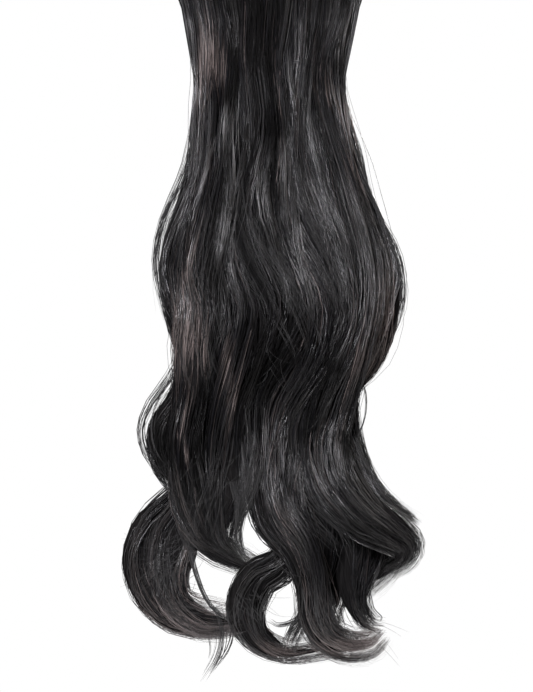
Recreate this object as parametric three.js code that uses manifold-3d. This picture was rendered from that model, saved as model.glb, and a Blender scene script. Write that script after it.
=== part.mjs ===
// A clip-in hair extension: a sewn band that carries long wavy hair, and snap combs behind the band
// that grip the wearer's own hair. The hair hangs in three layers of locks. Above the parting line the
// locks share one body of hair; below it each lock goes its own way and ends in a curl.
// Millimetres, +Z up. The front faces -Y. The origin is the middle of the middle comb, on the face that
// lies on the head.

import * as THREE from "three";
import { mergeVertices } from "three/addons/utils/BufferGeometryUtils.js";
import Module from "manifold-3d";

const wasm = await Module();
wasm.setup();

// Driving dimensions
const CLEARANCE = 0.3; // between neighbouring pieces
const BAND = { wide: 160, tall: 10, thick: 4.2, corner: 1.5, bevel: 0.5 };
const COMB = { wide: 32, tall: 14, thick: 1.6, corner: 4, bevel: 0.3, spacing: 54 };
const COMB_SLOT = { count: 6, pitch: 4.2, wide: 2, tall: 8 };
const SIDES = 8; // corners of a lock's section
const SQUARENESS = 0.7; // 1 is an ellipse, and towards 0 a rectangle
const BODY_STEPS = 2; // sections from one row of the body to the next
const TAIL_STEPS = 3; // sections from one row of a tail to the next
const DOWN = new THREE.Vector3(0, 0, -1);

// The combs' faces lie on the head at y = 0, and the band's lower edge is level with theirs.
const BAND_MIDDLE_Y = -(COMB.thick + CLEARANCE + BAND.thick / 2);
const BAND_TOP_Z = BAND.tall - COMB.tall / 2;

const HAIR = new THREE.MeshStandardMaterial({ color: 0x1d1a1a, roughness: 0.42, metalness: 0 });
const CLOTH = new THREE.MeshStandardMaterial({ color: 0x161414, roughness: 0.9, metalness: 0 });
const STEEL = new THREE.MeshStandardMaterial({ color: 0x1a1a1c, roughness: 0.35, metalness: 0.8 });

// The body of hair above the parting line. drop is measured down from the band's top edge, left and right
// from its middle, and front and back from its middle plane.
const BODY_COLUMNS = ["drop", "left", "right", "front", "back"];
const BODY_ROWS = [
  [BAND.tall + CLEARANCE, -79, 79, 2.1, -2.1],
  [45, -67, 68, 13, -12],
  [105, -58, 56, 19, -17],
  [180, -70, 73, 32, -26],
  [247, -89, 99, 44, -36],
  [275, -82, 99, 42, -36],
];

// The layers of the body, from the front: how many locks stand side by side, and what share of the body's
// width they fill.
const LAYERS = {
  front: { order: 0, locks: 4, spread: 0.82 },
  middle: { order: 1, locks: 5, spread: 1 },
  back: { order: 2, locks: 4, spread: 0.82 },
};

// Each lock's own way below the parting line: across and drop place its middle, forward is towards the
// front, wide lies in the plane of the band, square to the lock, and thick is square to both.
const TAIL_COLUMNS = ["across", "drop", "forward", "wide", "thick"];
const LOCKS = [
  { name: "lock_front_left", layer: "front", place: 0, tail: [
    [-52, 307, 30, 33, 20],
    [-54, 341, 20, 28, 16],
    [-52, 371, 17, 24, 14],
    [-53, 401, 22, 22, 14],
    [-55, 427, 26, 19, 12],
    [-48, 447, 26, 12, 9],
    [-35, 456, 22, 7, 6],
  ] },
  { name: "lock_front_mid_left", layer: "front", place: 1, tail: [
    [-17, 307, 30, 35, 20],
    [-25, 345, 20, 30, 16],
    [-26, 375, 19, 28, 14],
    [-28, 405, 23, 25, 14],
    [-35, 430, 26, 20, 12],
    [-33, 451, 22, 12, 9],
    [-18, 463, 17, 6, 5],
  ] },
  { name: "lock_front_mid_right", layer: "front", place: 2, tail: [
    [21, 307, 30, 36, 20],
    [10, 345, 20, 36, 17],
    [6, 375, 19, 33, 16],
    [2, 405, 26, 34, 16],
    [4, 431, 32, 35, 16],
    [21, 455, 34, 30, 15],
    [32, 482, 28, 26, 14],
    [36, 508, 20, 21, 12],
    [47, 527, 12, 14, 9],
    [66, 536, 6, 9, 7],
    [82, 530, 4, 5, 4],
  ] },
  { name: "lock_front_right", layer: "front", place: 3, tail: [
    [56, 307, 30, 35, 20],
    [45, 345, 20, 33, 17],
    [41, 375, 19, 33, 16],
    [51, 405, 26, 36, 16],
    [71, 429, 31, 33, 15],
    [91, 445, 30, 22, 12],
    [105, 455, 24, 13, 9],
    [100, 466, 17, 9, 7],
    [87, 474, 11, 6, 5],
  ] },
  { name: "lock_left_edge", layer: "middle", place: 0, tail: [
    [-60, 307, 3, 31, 20],
    [-72, 341, 1, 29, 17],
    [-78, 369, 2, 27, 16],
    [-76, 394, 4, 24, 15],
    [-66, 416, 7, 20, 13],
    [-52, 442, 9, 15, 11],
    [-36, 458, 7, 11, 8],
    [-21, 466, 4, 6, 5],
  ] },
  { name: "lock_mid_left", layer: "middle", place: 1, tail: [
    [-31, 307, 3, 31, 20],
    [-31, 345, 1, 29, 17],
    [-22, 382, 1, 28, 16],
    [-6, 420, 6, 26, 14],
    [13, 450, 12, 23, 13],
    [10, 472, 15, 21, 12],
    [-9, 486, 13, 22, 12],
    [-19, 504, 8, 22, 11],
    [-10, 524, 2, 15, 9],
    [12, 535, -2, 9, 7],
    [36, 536, -4, 6, 5],
    [52, 532, -4, 4, 4],
  ] },
  { name: "lock_middle", layer: "middle", place: 2, tail: [
    [10, 307, 3, 31, 20],
    [11, 345, 0, 29, 17],
    [20, 382, 0, 28, 16],
    [32, 420, 4, 26, 15],
    [38, 454, 8, 21, 14],
    [32, 480, 8, 16, 11],
    [25, 499, 6, 10, 9],
    [19, 517, 6, 7, 7],
    [18, 530, 6, 5, 5],
  ] },
  { name: "lock_mid_right", layer: "middle", place: 3, tail: [
    [47, 307, 3, 31, 20],
    [43, 345, 0, 27, 17],
    [48, 382, 0, 25, 16],
    [62, 420, 4, 26, 15],
    [67, 454, 6, 28, 14],
    [58, 480, 6, 22, 12],
    [58, 499, 6, 14, 10],
    [66, 513, 4, 11, 8],
    [79, 520, 0, 6, 5],
  ] },
  { name: "lock_right_edge", layer: "middle", place: 4, tail: [
    [78, 307, 3, 27, 20],
    [64, 337, 2, 15, 17],
    [63, 364, 1, 14, 15],
    [70, 390, 2, 12, 13],
    [84, 414, 6, 10, 11],
    [99, 428, 10, 7, 8],
    [112, 436, 12, 4, 4],
  ] },
  { name: "lock_back_left", layer: "back", place: 0, tail: [
    [-52, 307, -24, 33, 20],
    [-60, 345, -17, 31, 17],
    [-63, 382, -17, 30, 16],
    [-69, 412, -18, 33, 15],
    [-81, 436, -16, 42, 15],
    [-84, 465, -12, 50, 14],
    [-73, 493, -6, 37, 12],
    [-51, 509, -2, 20, 9],
    [-24, 517, 0, 7, 5],
  ] },
  { name: "lock_back_mid_left", layer: "back", place: 1, tail: [
    [-17, 307, -24, 35, 20],
    [-22, 345, -17, 31, 17],
    [-30, 382, -17, 28, 15],
    [-36, 412, -17, 24, 13],
    [-42, 435, -14, 16, 10],
    [-43, 451, -8, 8, 6],
  ] },
  { name: "lock_back_mid_right", layer: "back", place: 2, tail: [
    [21, 307, -24, 35, 20],
    [19, 345, -17, 33, 17],
    [26, 382, -17, 31, 16],
    [39, 420, -16, 30, 15],
    [47, 456, -14, 29, 14],
    [42, 487, -12, 23, 12],
    [39, 511, -10, 16, 9],
    [48, 528, -10, 7, 5],
  ] },
  { name: "lock_back_right", layer: "back", place: 3, tail: [
    [56, 307, -24, 35, 20],
    [52, 345, -17, 29, 17],
    [56, 382, -16, 26, 16],
    [69, 420, -14, 28, 15],
    [86, 450, -9, 27, 13],
    [85, 469, -5, 20, 10],
    [72, 486, -6, 12, 8],
    [64, 501, -8, 5, 5],
  ] },
];

// A table row as an object with the columns' names.
function named(columns, values) {
  return Object.fromEntries(columns.map((column, i) => [column, values[i]]));
}

// A lock's place in one row of the body: its layer takes a third of the depth, and its place a share of
// the layer's width.
function bodyStation(lock, body) {
  const layer = LAYERS[lock.layer];
  const layerWidth = (body.right - body.left) * layer.spread;
  const pitch = layerWidth / layer.locks;
  const depth = (body.front - body.back) / Object.keys(LAYERS).length;
  return {
    across: (body.left + body.right) / 2 + (lock.place + 0.5) * pitch - layerWidth / 2,
    drop: body.drop,
    forward: body.front - (layer.order + 0.5) * depth,
    wide: pitch - 2 * CLEARANCE,
    thick: depth - 2 * CLEARANCE,
  };
}

// A lock's whole route, from the band to the tip of its curl.
function stationsOf(lock) {
  const body = BODY_ROWS.map((row) => bodyStation(lock, named(BODY_COLUMNS, row)));
  const tail = lock.tail.map((row) => named(TAIL_COLUMNS, row));
  return [...body, ...tail];
}

function signedPower(value, power) {
  return Math.sign(value) * Math.abs(value) ** power;
}

// One section of a lock: a ring of corners round its middle, flattened, with its wide side facing the front.
function ring(middle, along, wide, thick) {
  const front = new THREE.Vector3(0, -1, 0);
  const sideways = new THREE.Vector3().crossVectors(front, along).normalize();
  const outward = new THREE.Vector3().crossVectors(along, sideways);
  return Array.from({ length: SIDES }, (_, i) => {
    const angle = ((i + 0.5) / SIDES) * 2 * Math.PI;
    return middle
      .clone()
      .addScaledVector(sideways, (wide / 2) * signedPower(Math.cos(angle), SQUARENESS))
      .addScaledVector(outward, (thick / 2) * signedPower(Math.sin(angle), SQUARENESS));
  });
}

// Where the sections of a route lie, as shares of its rows: further apart in the body than in the tail.
function sectionShares(rows) {
  const shares = [0];
  for (let row = 1; row < rows; row += 1) {
    const steps = row < BODY_ROWS.length ? BODY_STEPS : TAIL_STEPS;
    for (let step = 1; step <= steps; step += 1) shares.push((row - 1 + step / steps) / (rows - 1));
  }
  return shares;
}

// A closed loft through the sections of a route, level where it leaves the band. swell widens it on every
// side.
function loft(stations, swell = 0) {
  const places = stations.map(({ across, forward, drop }) => new THREE.Vector3(across, -forward, -drop));
  const spans = stations.map(({ wide, thick }) => new THREE.Vector3(wide, thick, 0));
  const middles = new THREE.CatmullRomCurve3(places);
  const sizes = new THREE.CatmullRomCurve3(spans);
  const shares = sectionShares(stations.length);
  const steps = shares.length - 1;
  const corners = shares.flatMap((share, step) => {
    const along = step === 0 ? DOWN : middles.getTangent(share);
    const end = step === 0 ? -swell : step === steps ? swell : 0;
    const middle = middles.getPoint(share).addScaledVector(along, end);
    const size = sizes.getPoint(share);
    return ring(middle, along, size.x + 2 * swell, size.y + 2 * swell);
  });
  const faces = [];
  for (let step = 0; step < steps; step += 1) {
    for (let side = 0; side < SIDES; side += 1) {
      const next = (side + 1) % SIDES;
      const [a, b] = [step * SIDES + side, step * SIDES + next];
      faces.push(a, b, a + SIDES, b, b + SIDES, a + SIDES);
    }
  }
  const last = steps * SIDES;
  for (let side = 1; side < SIDES - 1; side += 1) {
    faces.push(0, side + 1, side, last, last + side, last + side + 1);
  }
  return new THREE.BufferGeometry().setFromPoints(corners).setIndex(faces);
}

// A closed mesh as a solid, on its corners alone.
function toSolid(geometry) {
  geometry.deleteAttribute("normal");
  geometry.deleteAttribute("uv");
  const bare = mergeVertices(geometry);
  const vertProperties = new Float32Array(bare.getAttribute("position").array);
  const triVerts = new Uint32Array(bare.index.array);
  return new wasm.Manifold(new wasm.Mesh({ numProp: 3, vertProperties, triVerts }));
}

function toGeometry(solid) {
  const { vertProperties, triVerts } = solid.getMesh();
  const geometry = new THREE.BufferGeometry();
  geometry.setAttribute("position", new THREE.BufferAttribute(vertProperties, 3));
  geometry.setIndex(new THREE.BufferAttribute(triVerts, 1));
  geometry.computeVertexNormals();
  return geometry;
}

function largestOf(solid) {
  return solid.decompose().reduce((most, piece) => (piece.volume() > most.volume() ? piece : most));
}

// The locks, each trimmed clear of those before it in the list.
function hairLocks() {
  const group = new THREE.Group();
  const earlier = [];
  for (const lock of LOCKS) {
    const stations = stationsOf(lock);
    const swollen = toSolid(loft(stations, CLEARANCE));
    const whole = toSolid(loft(stations));
    const trimmed = largestOf(earlier.reduce((solid, other) => solid.subtract(other), whole));
    earlier.push(swollen);
    const mesh = new THREE.Mesh(toGeometry(trimmed), HAIR);
    mesh.name = lock.name;
    group.add(mesh);
  }
  return group;
}

function roundedRectangle(path, wide, tall, corner) {
  const [x, y] = [wide / 2, tall / 2];
  path.moveTo(corner - x, -y);
  path.lineTo(x - corner, -y);
  path.absarc(x - corner, corner - y, corner, -Math.PI / 2, 0);
  path.lineTo(x, y - corner);
  path.absarc(x - corner, y - corner, corner, 0, Math.PI / 2);
  path.lineTo(corner - x, y);
  path.absarc(corner - x, y - corner, corner, Math.PI / 2, Math.PI);
  path.lineTo(-x, corner - y);
  path.absarc(corner - x, corner - y, corner, Math.PI, 1.5 * Math.PI);
  return path;
}

// An upright plate with bevelled edges whose back face lies at y = 0. The bevel stays inside the outline.
function uprightPlate(shape, thick, bevel) {
  const plate = new THREE.ExtrudeGeometry(shape, {
    depth: thick - 2 * bevel,
    bevelThickness: bevel,
    bevelSize: bevel,
    bevelOffset: -bevel,
    bevelSegments: 1,
    curveSegments: 3,
  });
  plate.translate(0, 0, bevel);
  plate.rotateX(Math.PI / 2);
  return plate;
}

function weftBand() {
  const outline = roundedRectangle(new THREE.Shape(), BAND.wide, BAND.tall, BAND.corner);
  const mesh = new THREE.Mesh(uprightPlate(outline, BAND.thick, BAND.bevel), CLOTH);
  mesh.name = "weft_band";
  mesh.position.set(0, BAND_MIDDLE_Y + BAND.thick / 2, BAND_TOP_Z - BAND.tall / 2);
  return mesh;
}

// A snap comb as one closed plate with a row of upright slots cut through it.
function snapComb(name, across) {
  const outline = roundedRectangle(new THREE.Shape(), COMB.wide, COMB.tall, COMB.corner);
  let comb = toSolid(uprightPlate(outline, COMB.thick, COMB.bevel));
  const first = (-(COMB_SLOT.count - 1) / 2) * COMB_SLOT.pitch;
  for (let i = 0; i < COMB_SLOT.count; i += 1) {
    const slot = new THREE.BoxGeometry(COMB_SLOT.wide, 4 * COMB.thick, COMB_SLOT.tall);
    slot.translate(first + i * COMB_SLOT.pitch, 0, 0);
    comb = comb.subtract(toSolid(slot));
  }
  const mesh = new THREE.Mesh(toGeometry(comb), STEEL);
  mesh.name = name;
  mesh.position.x = across;
  return mesh;
}

const extension = new THREE.Group();
extension.add(weftBand());
extension.add(snapComb("comb_left", -COMB.spacing));
extension.add(snapComb("comb_middle", 0));
extension.add(snapComb("comb_right", COMB.spacing));

const hair = hairLocks();
hair.position.set(0, BAND_MIDDLE_Y, BAND_TOP_Z);
extension.add(hair);

export default extension;
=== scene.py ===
# The looks of a clip-in hair extension: thirteen locks of near-black wavy hair made strand by strand, the
# ribbons, wisps and stray hairs over and round them, the sewn band that carries them and the enamelled combs
# behind it. Metres, +Z up. The front faces -Y. The origin is the middle of the middle comb, where it lies on
# the head.

import math

import bmesh
import bpy
import numpy as np
from bpy.props import FloatProperty, FloatVectorProperty, IntProperty, PointerProperty
from mathutils import Matrix, Vector


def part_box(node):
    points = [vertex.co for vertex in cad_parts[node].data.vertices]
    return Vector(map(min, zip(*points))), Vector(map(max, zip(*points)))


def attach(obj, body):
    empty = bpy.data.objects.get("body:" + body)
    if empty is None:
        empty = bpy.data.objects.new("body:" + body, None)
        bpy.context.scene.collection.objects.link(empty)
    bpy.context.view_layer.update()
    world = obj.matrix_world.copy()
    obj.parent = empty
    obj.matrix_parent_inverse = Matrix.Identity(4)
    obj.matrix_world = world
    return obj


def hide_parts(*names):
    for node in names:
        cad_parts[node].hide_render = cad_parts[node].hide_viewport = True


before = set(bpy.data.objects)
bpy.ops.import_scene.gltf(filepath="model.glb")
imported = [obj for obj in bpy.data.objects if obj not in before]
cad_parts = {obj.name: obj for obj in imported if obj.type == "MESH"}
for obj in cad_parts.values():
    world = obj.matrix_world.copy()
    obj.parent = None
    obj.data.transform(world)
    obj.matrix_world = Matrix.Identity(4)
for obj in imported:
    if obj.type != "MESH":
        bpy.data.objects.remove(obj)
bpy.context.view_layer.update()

bl_info = {
    "name": "Clip-in hair extension",
    "version": (1, 0, 0),
    "blender": (4, 5, 0),
    "location": "View3D > Sidebar > Hair extension",
    "description": "Lays the strands, finishes the band and the combs, and sets the stage",
    "category": "Object",
}

MM = 0.001
TURN = 2 * np.pi
FRONT = np.array([0.0, -1.0, 0.0])

# The hair hangs from the middle of the band's thickness, and drops are measured from its top edge.
BAND_LOW, BAND_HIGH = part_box("weft_band")
BAND_MIDDLE_Y = (BAND_LOW.y + BAND_HIGH.y) / 2
BAND_TOP_Z = BAND_HIGH.z

# The body of hair above the parting line, in millimetres, close to the solids.
BODY_COLUMNS = ("drop", "left", "right", "front", "back")
BODY_ROWS = (
    (8.0, -79, 79, 1.9, -1.9),
    (45, -67, 68, 13, -12),
    (105, -57, 56, 19, -17),
    (180, -65, 72, 32, -26),
    (247, -84, 98, 43, -36),
    (275, -79, 98, 47, -36),
)

# The layers of the body: order from the front, locks side by side, and their share of the body's width.
LAYERS = {
    "front": {"order": 0, "locks": 4, "spread": 0.82},
    "middle": {"order": 1, "locks": 5, "spread": 1.0},
    "back": {"order": 2, "locks": 4, "spread": 0.82},
}

# Each lock's layer, its place in it, its strands, how brown it is, and its own way below the parting line in
# millimetres.
TAIL_COLUMNS = ("across", "drop", "forward", "wide", "thick")
LOCKS = {
    "lock_front_left": ("front", 0, 470, 0.10, (
        (-53, 307, 33, 33, 20),
        (-58, 341, 22, 29, 16),
        (-62, 371, 17, 26, 14),
        (-60, 401, 16, 24, 14),
        (-57, 427, 19, 20, 12),
        (-49, 447, 21, 14, 9),
        (-36, 457, 19, 8, 6),
    )),
    "lock_front_mid_left": ("front", 1, 470, 0.0, (
        (-17, 307, 33, 35, 20),
        (-26, 345, 20, 34, 16),
        (-29, 375, 19, 33, 14),
        (-31, 405, 23, 28, 14),
        (-35, 430, 26, 20, 12),
        (-34, 451, 22, 13, 9),
        (-22, 463, 17, 6, 5),
    )),
    "lock_front_mid_right": ("front", 2, 600, 0.0, (
        (21, 307, 33, 36, 20),
        (10, 345, 20, 36, 17),
        (6, 375, 19, 33, 16),
        (2, 405, 26, 36, 16),
        (6, 431, 32, 39, 16),
        (22, 455, 34, 33, 15),
        (32, 482, 28, 27, 14),
        (36, 508, 20, 23, 12),
        (43, 523, 12, 18, 9),
        (59, 532, 6, 15, 7),
        (76, 531, 4, 13, 6),
        (88, 521, 3, 9, 5),
    )),
    "lock_front_right": ("front", 3, 540, 0.0, (
        (56, 307, 33, 35, 20),
        (44, 345, 20, 36, 17),
        (37, 375, 19, 42, 16),
        (45, 405, 26, 46, 16),
        (68, 429, 31, 38, 15),
        (92, 443, 30, 25, 12),
        (103, 454, 24, 18, 9),
        (100, 466, 17, 12, 7),
        (85, 475, 11, 8, 5),
    )),
    "lock_left_edge": ("middle", 0, 330, 0.1, (
        (-57, 307, 3, 30, 20),
        (-63, 341, 1, 27, 17),
        (-78, 369, 2, 28, 16),
        (-73, 393, 4, 26, 15),
        (-54, 416, 7, 23, 13),
        (-54, 438, 9, 29, 11),
        (-41, 456, 9, 22, 9),
        (-25, 467, 8, 17, 8),
        (-8, 474, 6, 12, 6),
        (6, 476, 4, 8, 5),
    )),
    "lock_mid_left": ("middle", 1, 320, 0.05, (
        (-31, 307, 3, 31, 20),
        (-31, 345, 1, 29, 17),
        (-18, 382, 1, 28, 16),
        (4, 420, 6, 26, 14),
        (21, 447, 12, 24, 13),
        (8, 468, 15, 26, 12),
        (-9, 478, 13, 29, 12),
        (-17, 493, 10, 29, 11),
        (-17, 510, 5, 26, 10),
        (-7, 527, -1, 19, 8),
        (12, 537, -4, 14, 6),
        (36, 536, -4, 12, 5),
        (64, 531, -4, 9, 4),
    )),
    "lock_middle": ("middle", 2, 230, 0.0, (
        (10, 307, 3, 31, 20),
        (11, 345, 0, 29, 17),
        (20, 382, 0, 28, 16),
        (32, 420, 4, 26, 15),
        (39, 454, 8, 21, 14),
        (37, 480, 8, 15, 11),
        (32, 499, 6, 10, 8),
        (24, 513, 6, 8, 6),
        (17, 526, 6, 7, 5),
        (14, 537, 5, 6, 4),
    )),
    "lock_mid_right": ("middle", 3, 270, 0.0, (
        (47, 307, 3, 31, 20),
        (43, 345, 0, 27, 17),
        (48, 382, 0, 25, 16),
        (62, 420, 4, 26, 15),
        (68, 454, 6, 30, 14),
        (62, 480, 6, 26, 12),
        (63, 499, 6, 17, 10),
        (68, 511, 4, 17, 8),
        (77, 520, 0, 15, 6),
        (90, 520, -2, 10, 4),
    )),
    "lock_right_edge": ("middle", 4, 240, 0.1, (
        (75, 307, 3, 26, 20),
        (59, 337, 2, 15, 17),
        (59, 364, 1, 13, 15),
        (68, 389, 0, 10, 13),
        (82, 412, 7, 8, 10),
        (98, 427, 12, 6, 8),
        (114, 439, 16, 4, 4),
    )),
    "lock_back_left": ("back", 0, 450, 0.16, (
        (-52, 307, -24, 33, 20),
        (-60, 345, -17, 31, 17),
        (-60, 382, -17, 28, 16),
        (-54, 408, -17, 24, 15),
        (-69, 430, -16, 37, 15),
        (-81, 448, -14, 54, 14),
        (-86, 467, -11, 57, 14),
        (-84, 485, -8, 49, 13),
        (-74, 503, -5, 34, 12),
        (-57, 513, -3, 26, 10),
        (-38, 516, -1, 19, 8),
        (-20, 514, 0, 13, 6),
        (-8, 508, 0, 9, 5),
    )),
    "lock_back_mid_left": ("back", 1, 230, 0.05, (
        (-17, 307, -24, 35, 20),
        (-22, 345, -17, 31, 17),
        (-30, 382, -17, 28, 15),
        (-36, 412, -17, 24, 13),
        (-42, 435, -14, 16, 10),
        (-43, 451, -8, 8, 6),
    )),
    "lock_back_mid_right": ("back", 2, 300, 0.0, (
        (21, 307, -24, 35, 20),
        (19, 345, -17, 33, 17),
        (26, 382, -17, 31, 16),
        (39, 420, -16, 30, 15),
        (47, 456, -14, 29, 14),
        (45, 487, -12, 30, 12),
        (41, 506, -10, 20, 10),
        (44, 521, -10, 12, 6),
        (52, 530, -10, 7, 5),
    )),
    "lock_back_right": ("back", 3, 320, 0.05, (
        (56, 307, -24, 35, 20),
        (52, 345, -17, 29, 17),
        (56, 382, -16, 26, 16),
        (69, 420, -14, 30, 15),
        (83, 450, -9, 36, 13),
        (83, 469, -5, 36, 11),
        (71, 486, -6, 25, 9),
        (64, 501, -8, 14, 6),
    )),
}

# Ribbons of hair that lie over the front: strands, width, how brown, and the way, as across, drop and the
# height over the front surface, in millimetres.
RIBBONS = {
    # The left ribbon's high brown keeps the painted highlight of the lit lock below it showing.
    "left_ribbon": (24, 26, 0.5, (
        (-36, 130, -8), (-45, 190, -2), (-51, 232, -1), (-55, 262, 0), (-57, 290, 1), (-55, 314, 3),
        (-49, 338, 2), (-41, 362, -5),
    )),
    "near_left_ribbon": (16, 18, 0.05, (
        (-14, 130, -8), (-22, 188, -1), (-31, 226, 1), (-35, 262, 1), (-29, 300, 0), (-24, 338, -6),
    )),
    "sweep_ribbon": (34, 26, 0.0, (
        (-28, 150, -8), (-23, 205, 0), (-11, 236, 2), (4, 260, 3), (20, 286, 2), (31, 308, 0), (30, 340, -7),
    )),
    "second_sweep_ribbon": (24, 20, 0.0, (
        (10, 140, -8), (22, 206, 0), (37, 241, 2), (49, 270, 2), (56, 300, 0), (51, 338, -6),
    )),
    "right_ribbon": (14, 20, 0.1, (
        (36, 140, -8), (55, 210, -1), (69, 247, 1), (76, 278, 1), (71, 308, 0), (60, 345, -6),
    )),
    "middle_ribbon": (18, 16, 0.0, (
        (-6, 320, -7), (-11, 360, 0), (-6, 394, 2), (7, 424, 3), (25, 450, 1), (34, 476, -4),
    )),
    "branch_ribbon": (18, 15, 0.05, (
        (-28, 332, -7), (-33, 375, -2), (-43, 412, -5), (-49, 435, -6), (-46, 450, -11),
    )),
    "lower_right_ribbon": (18, 16, 0.0, (
        (34, 345, -7), (46, 396, 0), (69, 428, 2), (92, 452, 0), (98, 462, -6),
    )),
    "lower_middle_ribbon": (36, 25, 0.0, (
        (8, 345, -7), (15, 392, 0), (30, 424, 1), (50, 447, 1), (62, 468, -5),
    )),
}

# The front surface of the hair along its middle: drop and forward, in millimetres.
FRONT_SURFACE = (
    (45, 13), (105, 19), (180, 32), (247, 43), (275, 47), (307, 43), (345, 29), (375, 27), (405, 34),
    (431, 40), (455, 40), (482, 33),
)
FRONT_HALF_WIDTH = 108

# Thin wisps that leave the locks: strands, width, and the way, as across, drop and forward in millimetres.
WISPS = {
    "left_loop": (24, 8, (
        (-66, 312, 6), (-76, 330, 8), (-90, 348, 8), (-97, 366, 8), (-95, 381, 8), (-86, 396, 8),
        (-70, 412, 8),
    )),
    "left_bright": (6, 1.5, (
        (-54, 330, 22), (-61, 341, 27), (-66, 354, 28), (-67, 370, 28), (-64, 386, 28), (-60, 393, 26),
    )),
    "left_front_edge": (16, 6, (
        (-70, 385, 14), (-67, 408, 18), (-60, 432, 18), (-52, 449, 16), (-40, 462, 12),
    )),
    "over_left_gap": (26, 3.4, (
        (-62, 452, 10), (-56, 476, 10), (-47, 497, 8), (-34, 510, 6), (-24, 514, 4),
    )),
    "left_of_middle_gap": (56, 9, (
        (-26, 405, 30), (-22, 424, 30), (-25, 445, 28), (-21, 460, 24), (-12, 474, 20),
    )),
    "small_gap": (12, 7, (
        (-45, 428, 22), (-38, 446, 20), (-27, 455, 17), (-17, 460, 15),
    )),
    "bottom_left_tip": (16, 4, (
        (-33, 500, 2), (-28, 512, 2), (-29, 526, 2), (-34, 538, 2), (-43, 548, 2), (-50, 554, 2),
    )),
    "second_bottom_tip": (4, 1.5, (
        (-60, 506, 0), (-49, 519, 0), (-45, 534, 0), (-50, 553, 0),
    )),
    "right_loop": (7, 2, (
        (66, 325, 6), (72, 338, 8), (73, 350, 8), (71, 362, 8), (66, 374, 8), (62, 390, 6),
    )),
    "across_bottom_gap": (24, 4, (
        (32, 500, 8), (23, 509, 8), (14, 514, 7), (5, 515, 6), (-3, 509, 6),
    )),
    "outer_flick": (10, 3, (
        (63, 372, 18), (72, 393, 20), (86, 412, 20), (101, 427, 18), (113, 436, 16),
    )),
    "right_tip": (8, 4, (
        (70, 480, 4), (75, 492, 4), (78, 504, 3), (84, 511, 2), (80, 515, 1),
    )),
    "small_right_gap": (10, 9, (
        (48, 490, 12), (50, 505, 10), (55, 516, 8), (66, 521, 5),
    )),
    "above_middle_gap": (60, 10, (
        (-10, 392, 33), (-13, 408, 34), (-18, 422, 33), (-23, 434, 30), (-25, 446, 26),
    )),
    "short_lock": (60, 9, (
        (35, 476, 9), (33, 490, 9), (28, 504, 9), (21, 514, 8), (15, 525, 7), (12, 536, 6),
    )),
    "right_fringe": (40, 6, (
        (60, 140, 6), (67, 160, 7), (71, 182, 8), (77, 198, 9), (85, 213, 9), (93, 227, 9), (98, 242, 9),
        (100, 258, 9), (99, 273, 9), (95, 288, 9), (88, 304, 8), (80, 316, 6),
    )),
    "left_fringe": (48, 9, (
        (-52, 126, 6), (-57, 150, 7), (-62, 172, 8), (-68, 186, 8), (-75, 200, 9), (-81, 214, 9),
        (-85, 229, 9), (-86, 244, 9), (-84, 259, 9), (-80, 274, 9), (-75, 289, 8),
    )),
    "left_veil": (12, 11, (
        (-67, 316, 6), (-76, 335, 7), (-86, 350, 8), (-90, 366, 8), (-88, 382, 8), (-80, 396, 8),
        (-68, 410, 8),
    )),
    "bottom_left_veil": (18, 9, (
        (-42, 502, 2), (-38, 516, 2), (-37, 530, 2), (-41, 543, 2), (-49, 555, 2), (-54, 561, 2),
    )),
}

# Fine stray hairs: how many, the middle across and drop of the patch where they start, its reach across and
# down, whether they follow the front surface, how far forward of it or of the band they lie, their heading to
# the right of straight down and how much it differs, in millimetres and degrees.
FLYAWAYS = (
    (34, -70, 450, 16, 10, 0, 7, -40, 20),
    (34, -82, 468, 9, 12, 0, 5, 22, 18),
    (40, -66, 466, 12, 12, 0, 7, -58, 12),
    (30, -40, 405, 26, 30, 1, 0, -14, 24),
    (20, -74, 504, 14, 6, 0, 4, 72, 14),
    (22, -20, 494, 10, 10, 0, 19, 10, 35),
    (14, 12, 455, 14, 14, 0, 42, 25, 25),
    (20, -32, 225, 30, 40, 1, 2, 5, 16),
    (20, 34, 222, 28, 36, 1, 2, 12, 14),
    (14, 5, 325, 40, 24, 1, 3, 0, 30),
    (10, 58, 514, 14, 6, 0, 14, 60, 24),
    (10, 56, 430, 16, 12, 0, 38, 42, 14),
)


def table(columns, rows):
    """The columns of a table as arrays, by name."""
    return dict(zip(columns, np.array(rows, float).T, strict=True))


# Rows closer than this count as one, so that equal rows can follow each other.
SMALLEST_GAP = 1e-9


def smooth_through(rows, shares):
    """Points on the smooth curve through the rows of an array, at places counted in rows."""
    rows = np.asarray(rows, float)
    ends = np.vstack([2 * rows[0] - rows[1], rows, 2 * rows[-1] - rows[-2]])
    first = np.clip(shares.astype(int), 0, len(rows) - 2)
    before, here, there, after = (ends[first + i] for i in range(4))
    gap_before, gap, gap_after = (
        np.sqrt(np.maximum(np.linalg.norm(b - a, axis=1), SMALLEST_GAP))[:, None]
        for a, b in ((before, here), (here, there), (there, after))
    )
    leave = (here - before) / gap_before - (there - before) / (gap_before + gap) + (there - here) / gap
    arrive = (there - here) / gap - (after - here) / (gap + gap_after) + (after - there) / gap_after
    t = (shares - first)[:, None]
    return (
        here * (2 * t**3 - 3 * t**2 + 1)
        + leave * gap * (t**3 - 2 * t**2 + t)
        + there * (3 * t**2 - 2 * t**3)
        + arrive * gap * (t**3 - t**2)
    )


def unit(vectors):
    return vectors / np.maximum(np.linalg.norm(vectors, axis=-1, keepdims=True), 1e-12)


def ease(value, start, end):
    """0 before start, 1 after end, and smooth between them."""
    t = np.clip((value - start) / (end - start), 0, 1)
    return t * t * (3 - 2 * t)


def signed_power(value, power):
    return np.sign(value) * np.abs(value) ** power


# How square a rounded section is, and the furthest out that its depth is taken.
OVAL_POWER = 2.6
OVAL_RIM = 0.98


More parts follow.
